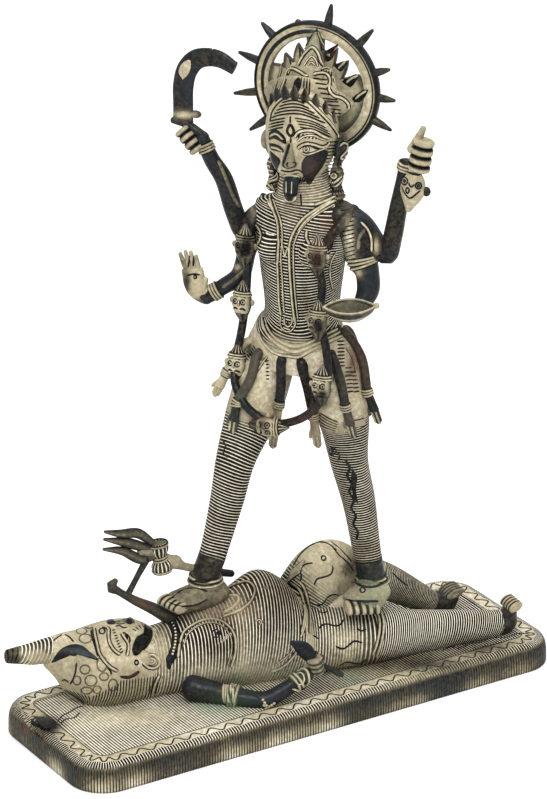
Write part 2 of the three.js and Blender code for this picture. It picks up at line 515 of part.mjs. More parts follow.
/** A mesh from a joined solid. */
function pieceOf(name, forms, material) {
  const mesh = wasm.Manifold.union(forms).getMesh();
  const geometry = new THREE.BufferGeometry();
  geometry.setAttribute("position", new THREE.BufferAttribute(new Float32Array(mesh.vertProperties), 3));
  geometry.setIndex(new THREE.BufferAttribute(new Uint32Array(mesh.triVerts), 1));
  geometry.computeVertexNormals();
  const piece = new THREE.Mesh(geometry, material);
  piece.name = name;
  return piece;
}

const patinatedBrass = new THREE.MeshStandardMaterial({ color: 0x9c8e6c, roughness: 0.6, metalness: 0.55 });

const casting = [
  ...plinth(), ...shiva(), ...cobraAndTrident(), ...legs(), ...trunkAndHead(), ...halo(), ...crown(),
  ...arms(), ...sickle(), ...bowl(), ...garland(), ...girdleArms(),
];

const group = new THREE.Group();
group.add(pieceOf("kali_shiva_casting", casting, patinatedBrass));
export default group;
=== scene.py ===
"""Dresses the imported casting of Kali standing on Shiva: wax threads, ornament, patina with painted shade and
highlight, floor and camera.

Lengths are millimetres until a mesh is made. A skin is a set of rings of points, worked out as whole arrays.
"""

import bpy
import numpy as np
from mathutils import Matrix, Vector
from mathutils.bvhtree import BVHTree


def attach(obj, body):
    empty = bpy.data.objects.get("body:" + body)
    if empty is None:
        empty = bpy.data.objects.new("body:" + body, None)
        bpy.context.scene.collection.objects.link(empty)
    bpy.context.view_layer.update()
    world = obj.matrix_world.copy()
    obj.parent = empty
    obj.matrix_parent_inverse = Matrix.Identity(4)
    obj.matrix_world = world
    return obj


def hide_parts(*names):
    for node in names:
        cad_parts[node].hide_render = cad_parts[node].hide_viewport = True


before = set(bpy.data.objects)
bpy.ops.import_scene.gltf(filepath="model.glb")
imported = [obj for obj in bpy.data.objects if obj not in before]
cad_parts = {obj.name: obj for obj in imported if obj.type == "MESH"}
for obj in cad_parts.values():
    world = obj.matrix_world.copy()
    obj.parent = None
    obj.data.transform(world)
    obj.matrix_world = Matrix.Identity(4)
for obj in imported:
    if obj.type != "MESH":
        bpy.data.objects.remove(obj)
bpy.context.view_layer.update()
NODE = "kali_shiva_casting"

# Plinth
PLINTH_LENGTH = 318.0
PLINTH_DEPTH = 109.5
PLINTH_TOP = 15.3
PLINTH_CORNER = 21.6
EDGE_INSET = 5.8
BORDER_WIDTH = 9.5
BORDER_RELIEF = 0.8

# The photograph's camera: where it looks, how far off, and the pixel that the aim falls on
FRAME_SIZE = (547, 799)
VIEW_TURN = np.radians(-32.1)
VIEW_RISE = np.radians(22.0)
AIM = np.array([0.0, 0.0, 210.0])
AIM_PIXEL = (282.2, 356.6)
DISTANCE = 2200.0
PIXELS_AT_AIM = 1.788
FOCAL_PIXELS = PIXELS_AT_AIM * DISTANCE
SENSOR = 36.0

OUT = np.array([np.sin(VIEW_TURN) * np.cos(VIEW_RISE), -np.cos(VIEW_TURN) * np.cos(VIEW_RISE),
                np.sin(VIEW_RISE)])
RIGHT = np.array([np.cos(VIEW_TURN), np.sin(VIEW_TURN), 0.0])
UPWARD = np.cross(OUT, RIGHT)
EYE = AIM + OUT * DISTANCE

TURN = 2 * np.pi
METRE = 0.001
UP = np.array([0, 0, 1.0])


def pixels_of(points):
    """Where points fall in the photograph's frame: beside and above the line of sight, over their depth."""
    away = points - EYE
    scale = FOCAL_PIXELS / -(away @ OUT)
    return np.stack([AIM_PIXEL[0] + scale * (away @ RIGHT), AIM_PIXEL[1] - scale * (away @ UPWARD)], -1)


def sight_lines(pixels):
    """Directions from the eye through points of the photograph's frame."""
    pixels = np.asarray(pixels, float)
    across = (pixels[..., 0:1] - AIM_PIXEL[0]) / FOCAL_PIXELS
    down = (pixels[..., 1:2] - AIM_PIXEL[1]) / FOCAL_PIXELS
    lines = -OUT + across * RIGHT - down * UPWARD
    return lines / np.linalg.norm(lines, axis=-1, keepdims=True)


class Figure:
    """A figure's own frame on the plinth's top: x along its first axis, y along its second, h upwards."""

    def __init__(self, x, y, turn):
        a = np.radians(turn)
        self.axes = np.array([[np.cos(a), -np.sin(a), 0], [np.sin(a), np.cos(a), 0], [0, 0, 1.0]])
        self.foot = np.array([x, y, PLINTH_TOP])

    def at(self, *place):
        """A place in the object's frame."""
        return self.foot + np.array(place, float) @ self.axes

    def way(self, *step):
        """A direction in the object's frame."""
        return np.array(step, float) @ self.axes


her = Figure(18.8, 8, 57)
his = Figure(0, 8, 11.7)
ground = Figure(0, 0, 0)


def unit(v):
    """Vectors brought to length one."""
    return v / np.maximum(np.linalg.norm(v, axis=-1, keepdims=True), 1e-9)


def through(rows, u):
    """A smooth curve through rows of numbers: cubic pieces whose slopes weigh the gaps' square roots."""
    rows = np.vstack([2 * rows[0] - rows[1], rows, 2 * rows[-1] - rows[-2]])
    gap = np.maximum(np.linalg.norm(np.diff(rows[:, :3], axis=0), axis=1), 1e-4) ** 0.5
    i = np.clip(np.floor(u).astype(int), 0, len(rows) - 4)
    f = (u - i)[:, None]
    a, b, c = gap[i][:, None], gap[i + 1][:, None], gap[i + 2][:, None]
    p0, p1, p2, p3 = rows[i], rows[i + 1], rows[i + 2], rows[i + 3]
    m1 = ((p1 - p0) / a - (p2 - p0) / (a + b) + (p2 - p1) / b) * b
    m2 = ((p2 - p1) / b - (p3 - p1) / (b + c) + (p3 - p2) / c) * b
    return ((2 * f**3 - 3 * f**2 + 1) * p1 + (f**3 - 2 * f**2 + f) * m1
            + (3 * f**2 - 2 * f**3) * p2 + (f**3 - f**2) * m2)


def along(points, step):
    """A smooth curve through points, cut into equal steps of about the given length."""
    points = np.asarray(points, float)
    if len(points) == 2:
        points = np.stack([points[0], points.mean(0), points[1]])
    fine = through(points, np.linspace(0, len(points) - 1, 24 * (len(points) - 1) + 1))
    run = np.concatenate([[0], np.cumsum(np.linalg.norm(np.diff(fine, axis=0), axis=1))])
    stops = np.linspace(0, run[-1], max(3, int(np.ceil(run[-1] / step)) + 1))
    return np.stack([np.interp(stops, run, column) for column in fine.T], -1)


class Limb:
    """A skin carried along a smooth curve through stations [x, y, h, half width, half depth]."""

    steps = 40  # points of the curve from one station to the next

    def __init__(self, figure, stations, across=(1, 0, 0), dome=0.8, level=False):
        rows = np.array([list(row) + [row[3]] * (5 - len(row)) for row in stations], float)
        rows[:, :3] = figure.foot + rows[:, :3] @ figure.axes
        fine = through(rows, np.linspace(0, len(rows) - 1, self.steps * (len(rows) - 1) + 1))
        self.centre = fine[:, :3]
        self.half = np.maximum(fine[:, 3:], 0.25)
        self.run = np.concatenate([[0], np.cumsum(np.linalg.norm(np.diff(self.centre, axis=0), axis=1))])
        self.stops = self.run[::self.steps]
        self.length = self.run[-1]
        self.tangent = unit(np.gradient(self.centre, axis=0))
        if level:
            self.tangent[:] = unit(self.centre[-1] - self.centre[0])
        side = figure.way(*across)
        self.wide = unit(side - self.tangent * (self.tangent @ side)[:, None])
        self.deep = np.cross(self.tangent, self.wide)
        self.ends = dome * self.half[[0, -1]].min(axis=1)

    def skin(self, s, t, lift=0.0):
        """Place at length s and angle t, with the skin raised by a lift.

        It is centre + wide · (half width + lift) · sin t + deep · (half depth + lift) · cos t. Past an end, the
        ring shrinks as a circle does.
        """
        inside = np.clip(s, 0, self.length)
        past = s - inside
        reach = np.where(past < 0, self.ends[0], self.ends[1])
        shrink = np.sqrt(np.clip(1 - (past / reach) ** 2, 0, 1))
        pick = lambda table: np.stack([np.interp(inside, self.run, column) for column in table.T], -1)
        half = (pick(self.half) + np.expand_dims(lift, -1)) * shrink[..., None]
        place = pick(self.centre) + pick(self.tangent) * (past * (1 + lift / reach))[..., None]
        place = place + pick(self.wide) * (half[..., :1] * np.sin(t)[..., None])
        return place + pick(self.deep) * (half[..., 1:] * np.cos(t)[..., None])


class Shell:
    """A closed skin: points, four-sided and three-sided faces, and what each point wears."""

    def __init__(self, points, quads, tris, groove, tone):
        self.points, self.quads, self.tris = points, quads, tris
        self.groove = np.broadcast_to(np.asarray(groove, float), len(points)).copy()
        self.tone = np.broadcast_to(np.asarray(tone, float), len(points)).copy()
        corners = np.concatenate([quads[:, :3], quads[:, [0, 2, 3]], tris])
        a, b, c = (points[corners[:, k]] for k in range(3))
        if np.einsum("ij,ij->i", a, np.cross(b, c)).sum() < 0:
            self.quads, self.tris = quads[:, ::-1], tris[:, ::-1]


def wrap(grid, groove=0.0, tone=0.0):
    """A shell from rings of points: each joins the next, and the first and last close on their middles."""
    rows, columns = grid.shape[:2]
    ids = np.arange(rows * columns).reshape(rows, columns)
    beside = np.roll(ids, -1, axis=1)
    quads = np.stack([ids[:-1], beside[:-1], beside[1:], ids[1:]], -1).reshape(-1, 4)
    first, last = np.full(columns, rows * columns), np.full(columns, rows * columns + 1)
    tris = np.concatenate([np.stack([beside[0], ids[0], first], -1),
                           np.stack([ids[-1], beside[-1], last], -1)])
    worn = [np.broadcast_to(np.asarray(v, float), (rows, columns)) for v in (groove, tone)]
    worn = [np.concatenate([v.ravel(), [v[0].mean(), v[-1].mean()]]) for v in worn]
    points = np.concatenate([grid.reshape(-1, 3), grid[:1].mean(1), grid[-1:].mean(1)])
    return Shell(points, quads, tris, *worn)


# Wax threads: where their rings lie from one groove to the next, where a groove ends, and how far the crest is
# lightened past its wash, a painted highlight
THREAD_STEPS = np.array([0, 0.25, 0.5, 0.75])
GROOVE_EDGE = 0.25
CREST = 0.5
CREST_PAINTED_HIGHLIGHT = -0.8
THREAD_HEIGHT = 0.46


def thread_rows(count):
    """Where the rings lie in a number of threads: at each groove, on both of its edges and on the crest."""
    phase = (np.arange(int(count) + 1)[:, None] + THREAD_STEPS).ravel()
    return phase[phase <= count + 1e-6]


def thread_profile(phase):
    """Height and groove of wax threads laid side by side: each is round, with a sharp groove between two.

    The height is that of a circle, and the groove is 1 as far as its edge and falls below 0 on the crest.
    A groove's dark is patina with painted shade, and the crest below 0 is a painted highlight.
    """
    f = phase % 1
    f = np.where(np.abs(f - 1) < 1e-6, 0, f)
    height = np.sqrt(np.clip(1 - (2 * f - 1) ** 2, 0, 1))
    return height, np.interp(np.minimum(f, 1 - f), [GROOVE_EDGE, CREST], [1, CREST_PAINTED_HIGHLIGHT])


def threaded(limb, pitch, columns=64, span=None, wave=None, mask=None, tone=0.0, height=THREAD_HEIGHT,
             shape=None):
    """Rings of wax thread round a limb: length = start + pitch · phase + wave, sunk at the grooves."""
    start, stop = span or (-limb.ends[0], limb.length + limb.ends[1])
    phase = thread_rows((stop - start) / pitch)
    p, t = np.meshgrid(phase, np.linspace(0, TURN, columns, endpoint=False), indexing="ij")
    s = start + pitch * p
    if wave:
        s = s + wave(s, t)
    s = np.clip(s, start, stop)
    rise, groove = thread_profile(p)
    strength = mask(s, t) if mask else 1.0
    lift = height * (rise - 1) * strength
    if shape:
        lift = lift + shape(s, t)
    tones = tone(s, t) if callable(tone) else tone
    return wrap(limb.skin(s, t, lift), groove * strength, tones)


def smooth(limb, rows=24, columns=24, tone=0.0, groove=0.0, span=None, shape=None):
    """A limb's plain skin, with rings closer together towards its domed ends."""
    start, stop = span or (-limb.ends[0], limb.length + limb.ends[1])
    s = np.linspace(0, limb.length, rows)
    s = np.clip(s, start, stop)
    if not span:
        arc = np.sin(np.linspace(0.05, 1, 6) * np.pi / 2)
        s = np.concatenate([-limb.ends[0] * arc[::-1], s, limb.length + limb.ends[1] * arc])
    s, t = np.meshgrid(s, np.linspace(0, TURN, columns, endpoint=False), indexing="ij")
    lift = shape(s, t) if shape else 0.0
    grooves = groove(s, t) if callable(groove) else groove
    tones = tone(s, t) if callable(tone) else tone
    return wrap(limb.skin(s, t, np.broadcast_to(lift, s.shape)), grooves, tones)


def ball(figure, place, radii, pitch=None, axis=0, columns=32, rows=16, tone=0.0):
    """An ellipsoid about a place; with a pitch, wax threads ring it across the chosen axis."""
    radii = np.array(radii, float)
    reach = radii[axis]
    if pitch:
        phase = thread_rows(2 * reach / pitch)
        x = np.clip(-reach + pitch * phase, -reach, reach)
        rise, groove = thread_profile(phase)
        sunk = THREAD_HEIGHT * (rise - 1)
    else:
        x = -reach * np.cos(np.linspace(0, np.pi, rows))
        groove, sunk = np.zeros(rows), np.zeros(rows)
    t = np.linspace(0, TURN, columns, endpoint=False)
    ring = np.sqrt(np.clip(1 - (x / reach) ** 2, 0, 1))
    others = [k for k in range(3) if k != axis]
    local = np.zeros((len(x), columns, 3))
    local[..., axis] = x[:, None]
    local[..., others[0]] = (ring * radii[others[0]] + sunk * ring)[:, None] * np.sin(t)
    local[..., others[1]] = (ring * radii[others[1]] + sunk * ring)[:, None] * np.cos(t)
    return wrap(place + local @ figure.axes, groove[:, None], tone)


# A direction that no cord runs in, to start its sections from
ASLANT = np.array([0.31, 0.17, 0.93])


def tube(points, radius, tone=1.0, groove=0.0, sides=8, step=1.2):
    """A round cord along a smooth curve, its ends closed to points."""
    path = along(points, step)
    way = unit(np.gradient(path, axis=0))
    side = unit(np.cross(way, ASLANT))
    up = np.cross(side, way)
    share = np.linspace(0, 1, len(path))
    radius = np.interp(share, np.linspace(0, 1, np.size(radius)), np.atleast_1d(radius))
    taper = np.sqrt(np.clip(share * (1 - share) * len(path), 0.02, 1))
    t = np.linspace(0, TURN, sides, endpoint=False)
    ring = (radius * taper)[:, None, None]
    grid = path[:, None] + ring * (side[:, None] * np.sin(t)[:, None] + up[:, None] * np.cos(t)[:, None])
    return wrap(grid, groove, tone)


class Ground:
    """The skins that a line or leaf is laid on, met along the photograph's lines of sight."""

    def __init__(self, *shells):
        offset, points, faces = 0, [], []
        for shell in shells:
            points.append(shell.points)
            faces += (shell.quads + offset).tolist() + (shell.tris + offset).tolist()
            offset += len(shell.points)
        points = np.concatenate(points)
        self.tree = BVHTree.FromPolygons(points.tolist(), faces)
        self.depth = float((EYE - points.mean(0)) @ OUT)

    def met(self, pixels):
        """Places and normals where the lines of sight first meet the skins, or where they pass nearest."""
        eye = Vector(EYE)
        places, normals = [], []
        for line in sight_lines(pixels):
            place, normal, _, _ = self.tree.ray_cast(eye, Vector(line))
            if place is None:
                place, normal, _, _ = self.tree.find_nearest(Vector(EYE + line * self.depth / -(line @ OUT)))
            places.append(place)
            normals.append(normal)
        places, normals = np.array(places), np.array(normals)
        facing = np.einsum("ij,j->i", normals, OUT)
        return places, np.where(facing[:, None] < 0, -normals, normals)


# A laid thread's section from its edge to its middle: across and up, as shares of its half width and of its
# height, and how dark each point is: dark at its foot, patina with painted shade where it meets the skin
HALF_SECTION = np.array([[-1.5, -0.6, 1.0], [-1.5, 0.2, 1.0], [-1.0, 0.26, 1.0], [-0.74, 0.72, 0.4],
                         [-0.35, 1.0, 0.0]])
THREAD_SECTION = np.vstack([HALF_SECTION, HALF_SECTION[::-1] * [-1, 1, 1]])


def smoothed(values, times):
    """Each inner row moved half way to the mean of its neighbours, some times over."""
    for _ in range(times):
        values[1:-1] = 0.5 * values[1:-1] + 0.25 * (values[:-2] + values[2:])
    return values


def ribbon(path, normal, width=1.0, height=0.6, tone=0.0, flank=1.0, sink=0.05, tapered=True):
    """A wax thread along a path: the section stands on the skin's normal, and both ends run out."""
    way = unit(np.gradient(path, axis=0))
    side = unit(np.cross(way, normal))
    size = np.ones(len(path))
    if tapered:
        size[[0, -1]] = 0.1
        size[[1, -2]] = 0.8
    across, up, dark = THREAD_SECTION.T
    grid = path[:, None] + side[:, None] * (size[:, None] * across * width / 2)[..., None]
    grid = grid + normal[:, None] * (size[:, None] * up * height - sink)[..., None]
    return wrap(grid, dark * flank, tone)


def laid(carrier, pixels, closed=False, step=1.3, **look):
    """A wax thread laid on a skin along a curve drawn in the photograph's frame."""
    pixels = np.asarray(pixels, float)
    if closed:
        pixels = np.vstack([pixels, pixels[:1]])
    path, normal = carrier.met(along(pixels, step))
    return ribbon(smoothed(path, 2), unit(smoothed(normal, 3)), tapered=not closed, **look)


def leaf(carrier, outline, rise=0.8, tone=1.0, edge=0.0, rings=6, rim=0.15, count=36):
    """A leaf or patch raised on a skin inside an outline drawn in the photograph's frame.

    Each ring is the outline drawn in towards its middle, and the height is that of a rounded pillow.
    """
    outline = np.asarray(outline, float)
    ring = along(np.vstack([outline, outline[:1]]), 0.6)[:-1]
    ring = ring[np.linspace(0, len(ring), count, endpoint=False).astype(int)]
    middle = outline.mean(0)
    inner = np.linspace(0.93, 0.05, rings)
    share = np.array([1.0, 1.0, *inner])
    flat = middle + (ring - middle) * share[:, None, None]
    places, normals = carrier.met(flat.reshape(-1, 2))
    normal = unit(normals.mean(0))
    up = np.array([-0.8, rim, *(rim + (rise - rim) * np.sqrt(1 - inner**2 * 0.9))])
    grid = places.reshape(flat.shape[:2] + (3,)) + normal * up[:, None, None]
    groove = np.zeros(flat.shape[:2])
    groove[:2] = edge
    return wrap(grid, groove, tone)


def bead(figure, place, radius, tone=0.0):
    """A small round pellet."""
    return ball(figure, place, (radius,) * 3, columns=10, rows=7, tone=tone)


# How each kind of ornament is laid on: its width and height, its tone, and how dark its flanks are, patina with
# painted shade at the thread's foot
LOOKS = {
    "cord": dict(width=1.7, height=0.9, tone=0.02),
    "fine": dict(width=1.1, height=0.55, tone=0.02),
    "hatch": dict(width=1.7, height=0.55, tone=0.1),
    "ink": dict(width=0.75, height=0.42, tone=1.0, flank=0.0),
    "comb": dict(width=0.68, height=0.4, tone=1.0, flank=0.0),
    "rim": dict(width=1.1, height=0.6, tone=1.0, flank=0.0),
    "hair": dict(width=0.55, height=0.36, tone=1.0, flank=0.0),
    "curl": dict(width=0.65, height=0.28, tone=0.52, flank=0.0),
    "ring": dict(width=0.7, height=0.42, tone=1.0, flank=0.0),
    # A ridge is a raised thread, and its lighter tone along the dark arms is a painted highlight
    "ridge": dict(width=1.3, height=0.4, tone=0.45, flank=0.0),
    "strap": dict(width=3.4, height=1.1, tone=1.0, flank=0.0)}
LEAVES = {"dark": dict(rise=0.45, tone=1.0), "tan": dict(rise=0.9, tone=0.02, edge=1.0)}
BEAD_GAP = 1.9
BEAD_RADIUS = 0.85


def relief(carrier, rows):
    """Ornament drawn in the photograph's frame: each row is a look, then the pixels of its curve or outline.

    A ring or curl is a middle and two reaches. A comb, hatch or hair is a count and two curves, and the others
    lie evenly between them.
    """
    shells = []
    for look, *numbers in rows:
        if look in LEAVES:
            shells.append(leaf(carrier, np.reshape(numbers, (-1, 2)), **LEAVES[look]))
        elif look in ("ring", "curl"):
            x, y, reach_x, reach_y = numbers
            turn = np.linspace(0, TURN, 9)[:-1]
            loop = np.stack([x + reach_x * np.cos(turn), y + reach_y * np.sin(turn)], -1)
            shells.append(laid(carrier, loop, closed=True, step=0.9, **LOOKS[look]))
        elif look in ("comb", "hatch", "hair"):
            first, last = np.reshape(numbers[1:], (2, -1, 2))
            shells += [laid(carrier, first + (last - first) * share, **LOOKS[look])
                       for share in np.linspace(0, 1, numbers[0])]
        elif look == "beads":
            places, normals = carrier.met(along(np.reshape(numbers, (-1, 2)), BEAD_GAP * PIXELS_AT_AIM))
            shells += [bead(ground, place, BEAD_RADIUS) for place in places + normals * 0.5]
        else:
            shells.append(laid(carrier, np.reshape(numbers, (-1, 2)), **LOOKS[look]))
    return shells


# Patches of the patina, and a few of painted shade and highlight: the pixel of the photograph's frame, how far
# it reaches across and down, and how much.
# Tone darkens, or lightens where it is negative; a wash hides grooves; stain is verdigris, and rust red-brown.
STAINS = {
    # Tone at (272, 586) and (288, 600) darkens his belly's upper side, a painted shade; the negative tone at
    # (312, 165), (305, 166) and (319, 158) lightens streaks on her cheek leaf, a painted highlight
    "tone": [(272, 586, 26, 22, 0.45), (250, 350, 7, 9, 0.3), (250, 378, 4, 9, 0.3),
        (184, 115, 15, 5, -0.9), (14, 716, 9, 14, 0.6), (40, 736, 12, 12, 0.7), (486, 648, 34, 9, 0.5),
        (218, 632, 17, 26, 0.3), (288, 600, 12, 26, 0.25), (376, 246, 4, 10, -0.8),
        (359, 273, 5, 7, -0.9), (252, 212, 4, 12, -0.6), (238, 267, 6, 5, -0.9), (180, 262, 5, 9, 0.5),
        (186, 282, 4, 14, 0.9), (200, 302, 14, 3, 0.6), (247, 250, 8, 7, 0.8), (316, 259, 6, 8, 0.7),
        (318, 327, 7, 8, 0.6), (322, 397, 7, 7, 0.7), (262, 425, 6, 7, 0.5), (312, 165, 2, 9, -0.45),
        (305, 166, 1.5, 6, -0.4), (319, 158, 1.5, 5, -0.3), (345, 500, 8, 40, 0.35),
        (215, 520, 12, 26, 0.2), (312, 610, 6, 30, 0.2), (250, 235, 6, 14, 0.4), (305, 300, 6, 16, 0.5),
        (366, 583, 18, 3, 0.4), (366, 603, 14, 3, 0.4), (352, 362, 4, 14, 0.4), (181, 593, 8, 7, 0.7),
        (243, 250, 9, 14, 0.6), (318, 262, 8, 10, 0.5), (320, 330, 9, 10, 0.4), (318, 402, 8, 8, 0.4),
        (236, 385, 5, 6, 0.4), (48, 724, 13, 8, 1.0), (366, 550, 11, 12, 0.6), (420, 664, 60, 9, 0.5),
        (349, 238, 6, 26, -1.1), (352, 262, 5, 8, -0.9), (350, 570, 9, 10, 0.5), (88, 660, 40, 30, 0.1)],
    "wash": [(326, 580, 26, 26, 1.0), (345, 640, 26, 18, 0.75), (310, 556, 14, 14, 0.6),
        (255, 674, 40, 15, 0.85), (430, 640, 40, 9, 0.35), (160, 645, 9, 26, 1.0),
        (135, 714, 45, 9, 0.95), (420, 672, 80, 20, 0.85), (212, 612, 30, 12, 1.0),
        (243, 640, 7, 26, 0.6), (235, 598, 14, 12, 0.7), (292, 212, 20, 22, 0.4),
        (350, 236, 10, 22, 0.55), (38, 655, 16, 8, 0.75), (292, 350, 34, 7, 0.7), (310, 196, 26, 9, 0.5),
        (200, 676, 16, 12, 0.6), (350, 285, 8, 30, 0.4), (345, 664, 24, 10, 0.6), (310, 180, 26, 8, 0.5),
        (255, 610, 12, 10, 0.4), (168, 660, 10, 22, 0.5), (100, 722, 50, 14, 0.3), (40, 664, 20, 9, 0.8),
        (275, 341, 14, 9, 0.85), (308, 347, 24, 8, 0.85), (334, 337, 12, 8, 0.7), (62, 676, 26, 20, 0.3)],
    "stain": [(352, 120, 12, 12, 0.3), (316, 42, 8, 8, 0.4), (222, 706, 28, 10, 0.9),
        (240, 678, 12, 8, 0.6), (288, 672, 16, 8, 0.5), (196, 590, 12, 14, 0.12), (345, 252, 7, 14, 0.35),
        (350, 308, 26, 12, 0.15), (374, 592, 18, 16, 0.45), (348, 678, 18, 8, 0.5),
        (236, 416, 8, 16, 0.25), (345, 377, 5, 22, 0.3)],
    "rust": [(333, 52, 8, 8, 0.6), (138, 605, 12, 8, 0.8), (356, 362, 16, 32, 0.6),
        (205, 615, 26, 30, 0.12), (130, 674, 14, 8, 0.7), (311, 168, 7, 12, 0.6), (308, 420, 16, 14, 0.5),
        (316, 252, 6, 10, 0.6), (268, 420, 16, 8, 0.4), (26, 730, 5, 6, 0.7), (240, 600, 30, 30, 0.2),
        (328, 228, 8, 14, 0.5)],
}


# Shades of crest and trough, and how they change as the tone goes from 0, light, to 1, dark
CREST_SHADE = 0.27
CREST_DARKENS = 0.66
TROUGH_SHADE = 1.0
TROUGH_LIGHTENS = 0.9
# How much of a groove a full wash covers, how deep a dark mark is, how far a crest's painted highlight may
# lighten it, and the tone above which none is lightened
WASH_COVER = 0.85
MARK_DEPTH = 1.1
BRIGHTEST_PAINTED_HIGHLIGHT = -0.75
FULLY_DARK = 0.99


def patina(shells):
    """Shade, polish, stain and rust of every point: thread and groove colours swap as the tone goes dark.

    Shade = crest + (trough - crest) · groove, from 0 for the lightest wash to 1 for the darkest groove.
    A groove's dark is patina with painted shade, and a groove below 0 lightens a crest as a painted highlight.
    """
    points = np.concatenate([shell.points for shell in shells])
    groove = np.concatenate([shell.groove for shell in shells])
    own = np.concatenate([shell.tone for shell in shells])
    worn = {"tone": own, **{kind: np.zeros(len(points)) for kind in ("wash", "stain", "rust")}}
    u, v = pixels_of(points).T
    for kind, patches in STAINS.items():
        for x, y, reach_x, reach_y, amount in patches:
            worn[kind] = worn[kind] + amount * np.exp(-((u - x) / reach_x) ** 2 - ((v - y) / reach_y) ** 2)
    mark = worn["tone"] - own
    tone = np.clip(own + np.minimum(mark, 0) * (own < FULLY_DARK), 0, 1)
    groove = groove * (1 - WASH_COVER * np.clip(worn["wash"], 0, 1))
    groove = np.clip(groove + MARK_DEPTH * np.maximum(mark, 0) * (1 - tone), BRIGHTEST_PAINTED_HIGHLIGHT, 1)
    crest = CREST_SHADE + CREST_DARKENS * tone
    trough = TROUGH_SHADE - TROUGH_LIGHTENS * tone**1.5
    return {"shade": crest + (trough - crest) * groove, "polish": tone * (1 - np.clip(groove, 0, 1)),
            "stain": np.clip(worn["stain"], 0, 1), "rust": np.clip(worn["rust"], 0, 1)}


def cast(name, shells, material):
    """One piece of the scene from its skins, in metres, with the patina's values, painted shade and highlight
    among them, on its points.
    """
    points = np.concatenate([shell.points for shell in shells]) * METRE
    offsets = np.cumsum([0] + [len(shell.points) for shell in shells])
    quads = np.concatenate([shell.quads + start for shell, start in zip(shells, offsets)])
    tris = np.concatenate([shell.tris + start for shell, start in zip(shells, offsets)])
    loops = np.concatenate([quads.ravel(), tris.ravel()]).astype(np.int32)
    totals = np.concatenate([np.full(len(quads), 4), np.full(len(tris), 3)]).astype(np.int32)
    mesh = bpy.data.meshes.new(name)
    mesh.vertices.add(len(points))
    mesh.vertices.foreach_set("co", points.astype(np.float32).ravel())
    mesh.loops.add(len(loops))
    mesh.loops.foreach_set("vertex_index", loops)
    mesh.polygons.add(len(totals))
    mesh.polygons.foreach_set("loop_start", np.concatenate([[0], np.cumsum(totals)[:-1]]).astype(np.int32))
    mesh.polygons.foreach_set("loop_total", totals)
    mesh.polygons.foreach_set("use_smooth", np.ones(len(totals), bool))
    for kind, values in patina(shells).items():
        mesh.attributes.new(kind, "FLOAT", "POINT").data.foreach_set("value", values.astype(np.float32))
    mesh.update(calc_edges=True)
    mesh.validate()
    mesh.materials.append(material)
    piece = bpy.data.objects.new(name, mesh)
    bpy.context.collection.objects.link(piece)
    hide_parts(NODE)
    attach(piece, "root")
    print(name, 2 * len(quads) + len(tris), "triangles")
    return piece


class Value:
    """A node socket in an expression: arithmetic on it adds Math nodes."""

    def __init__(self, tree, socket):
        self.tree, self.socket = tree, socket

    def node(self, kind, settings=(), out=0, **sockets):
        """A node of any type: its settings first, then values or links for its sockets, by name or number."""
        made = self.tree.nodes.new(kind)
        for key, value in dict(settings).items():
            if key == "stops":
                self.set_stops(made.color_ramp, value)
            else:
                setattr(made, key, value)
        for key, value in sockets.items():
            name = key.replace("_", " ")
            numbered = name[0] == "n" and name[1:].isdigit()
            socket = made.inputs[int(name[1:]) if numbered else name]
            if isinstance(value, Value):
                self.tree.links.new(value.socket, socket)
            else:
                socket.default_value = value
        return Value(self.tree, made.outputs[out]) if made.outputs else None

    @staticmethod
    def set_stops(ramp, stops):
        """A ramp's stops, as places and colours."""
        while len(ramp.elements) < len(stops):
            ramp.elements.new(0.5)
        for element, (place, colour) in zip(ramp.elements, stops):
            element.position = place
            element.color = (*colour, 1)

    def maths(self, operation, a, b=0.0, clamp=False):
        """A Math node on two values."""
        return self.node("ShaderNodeMath", {"operation": operation, "use_clamp": clamp}, n0=a, n1=b)

    def __add__(self, other):
        return self.maths("ADD", self, other)

    __radd__ = __add__

    def __mul__(self, other):
        return self.maths("MULTIPLY", self, other)

    __rmul__ = __mul__

    def __sub__(self, other):
        return self.maths("SUBTRACT", self, other)

    def __rsub__(self, other):
        return self.maths("SUBTRACT", other, self)

    def clamped(self):
        """The value kept between 0 and 1."""
        return self.maths("ADD", self, 0.0, clamp=True)


def linear(r, g, b):
    """A colour of 0 to 255 as the renderer counts it."""
    c = np.array([r, g, b]) / 255
    return tuple(float(v) for v in np.where(c <= 0.04045, c / 12.92, ((c + 0.055) / 1.055) ** 2.4))


WASH = [(0.0, linear(252, 248, 234)), (0.3, linear(171, 161, 133)), (0.62, linear(86, 80, 65)),
        (0.9, linear(28, 27, 26)), (1.0, linear(8, 8, 6))]
VERDIGRIS = (*linear(98, 132, 104), 1)
RED_BROWN = (*linear(122, 84, 66), 1)
# The blue-grey of a painted sheen on polished dark parts
PAINTED_SHEEN_BLUE = (*linear(54, 60, 64), 1)
# Noise in the wash, as scale and detail: clouds of about 25 mm, grain of about 2 mm, grit below that
CLOUD = (38.0, 4.0)
GRAIN = (420.0, 3.0)
GRIT = (1500.0, 2.0)


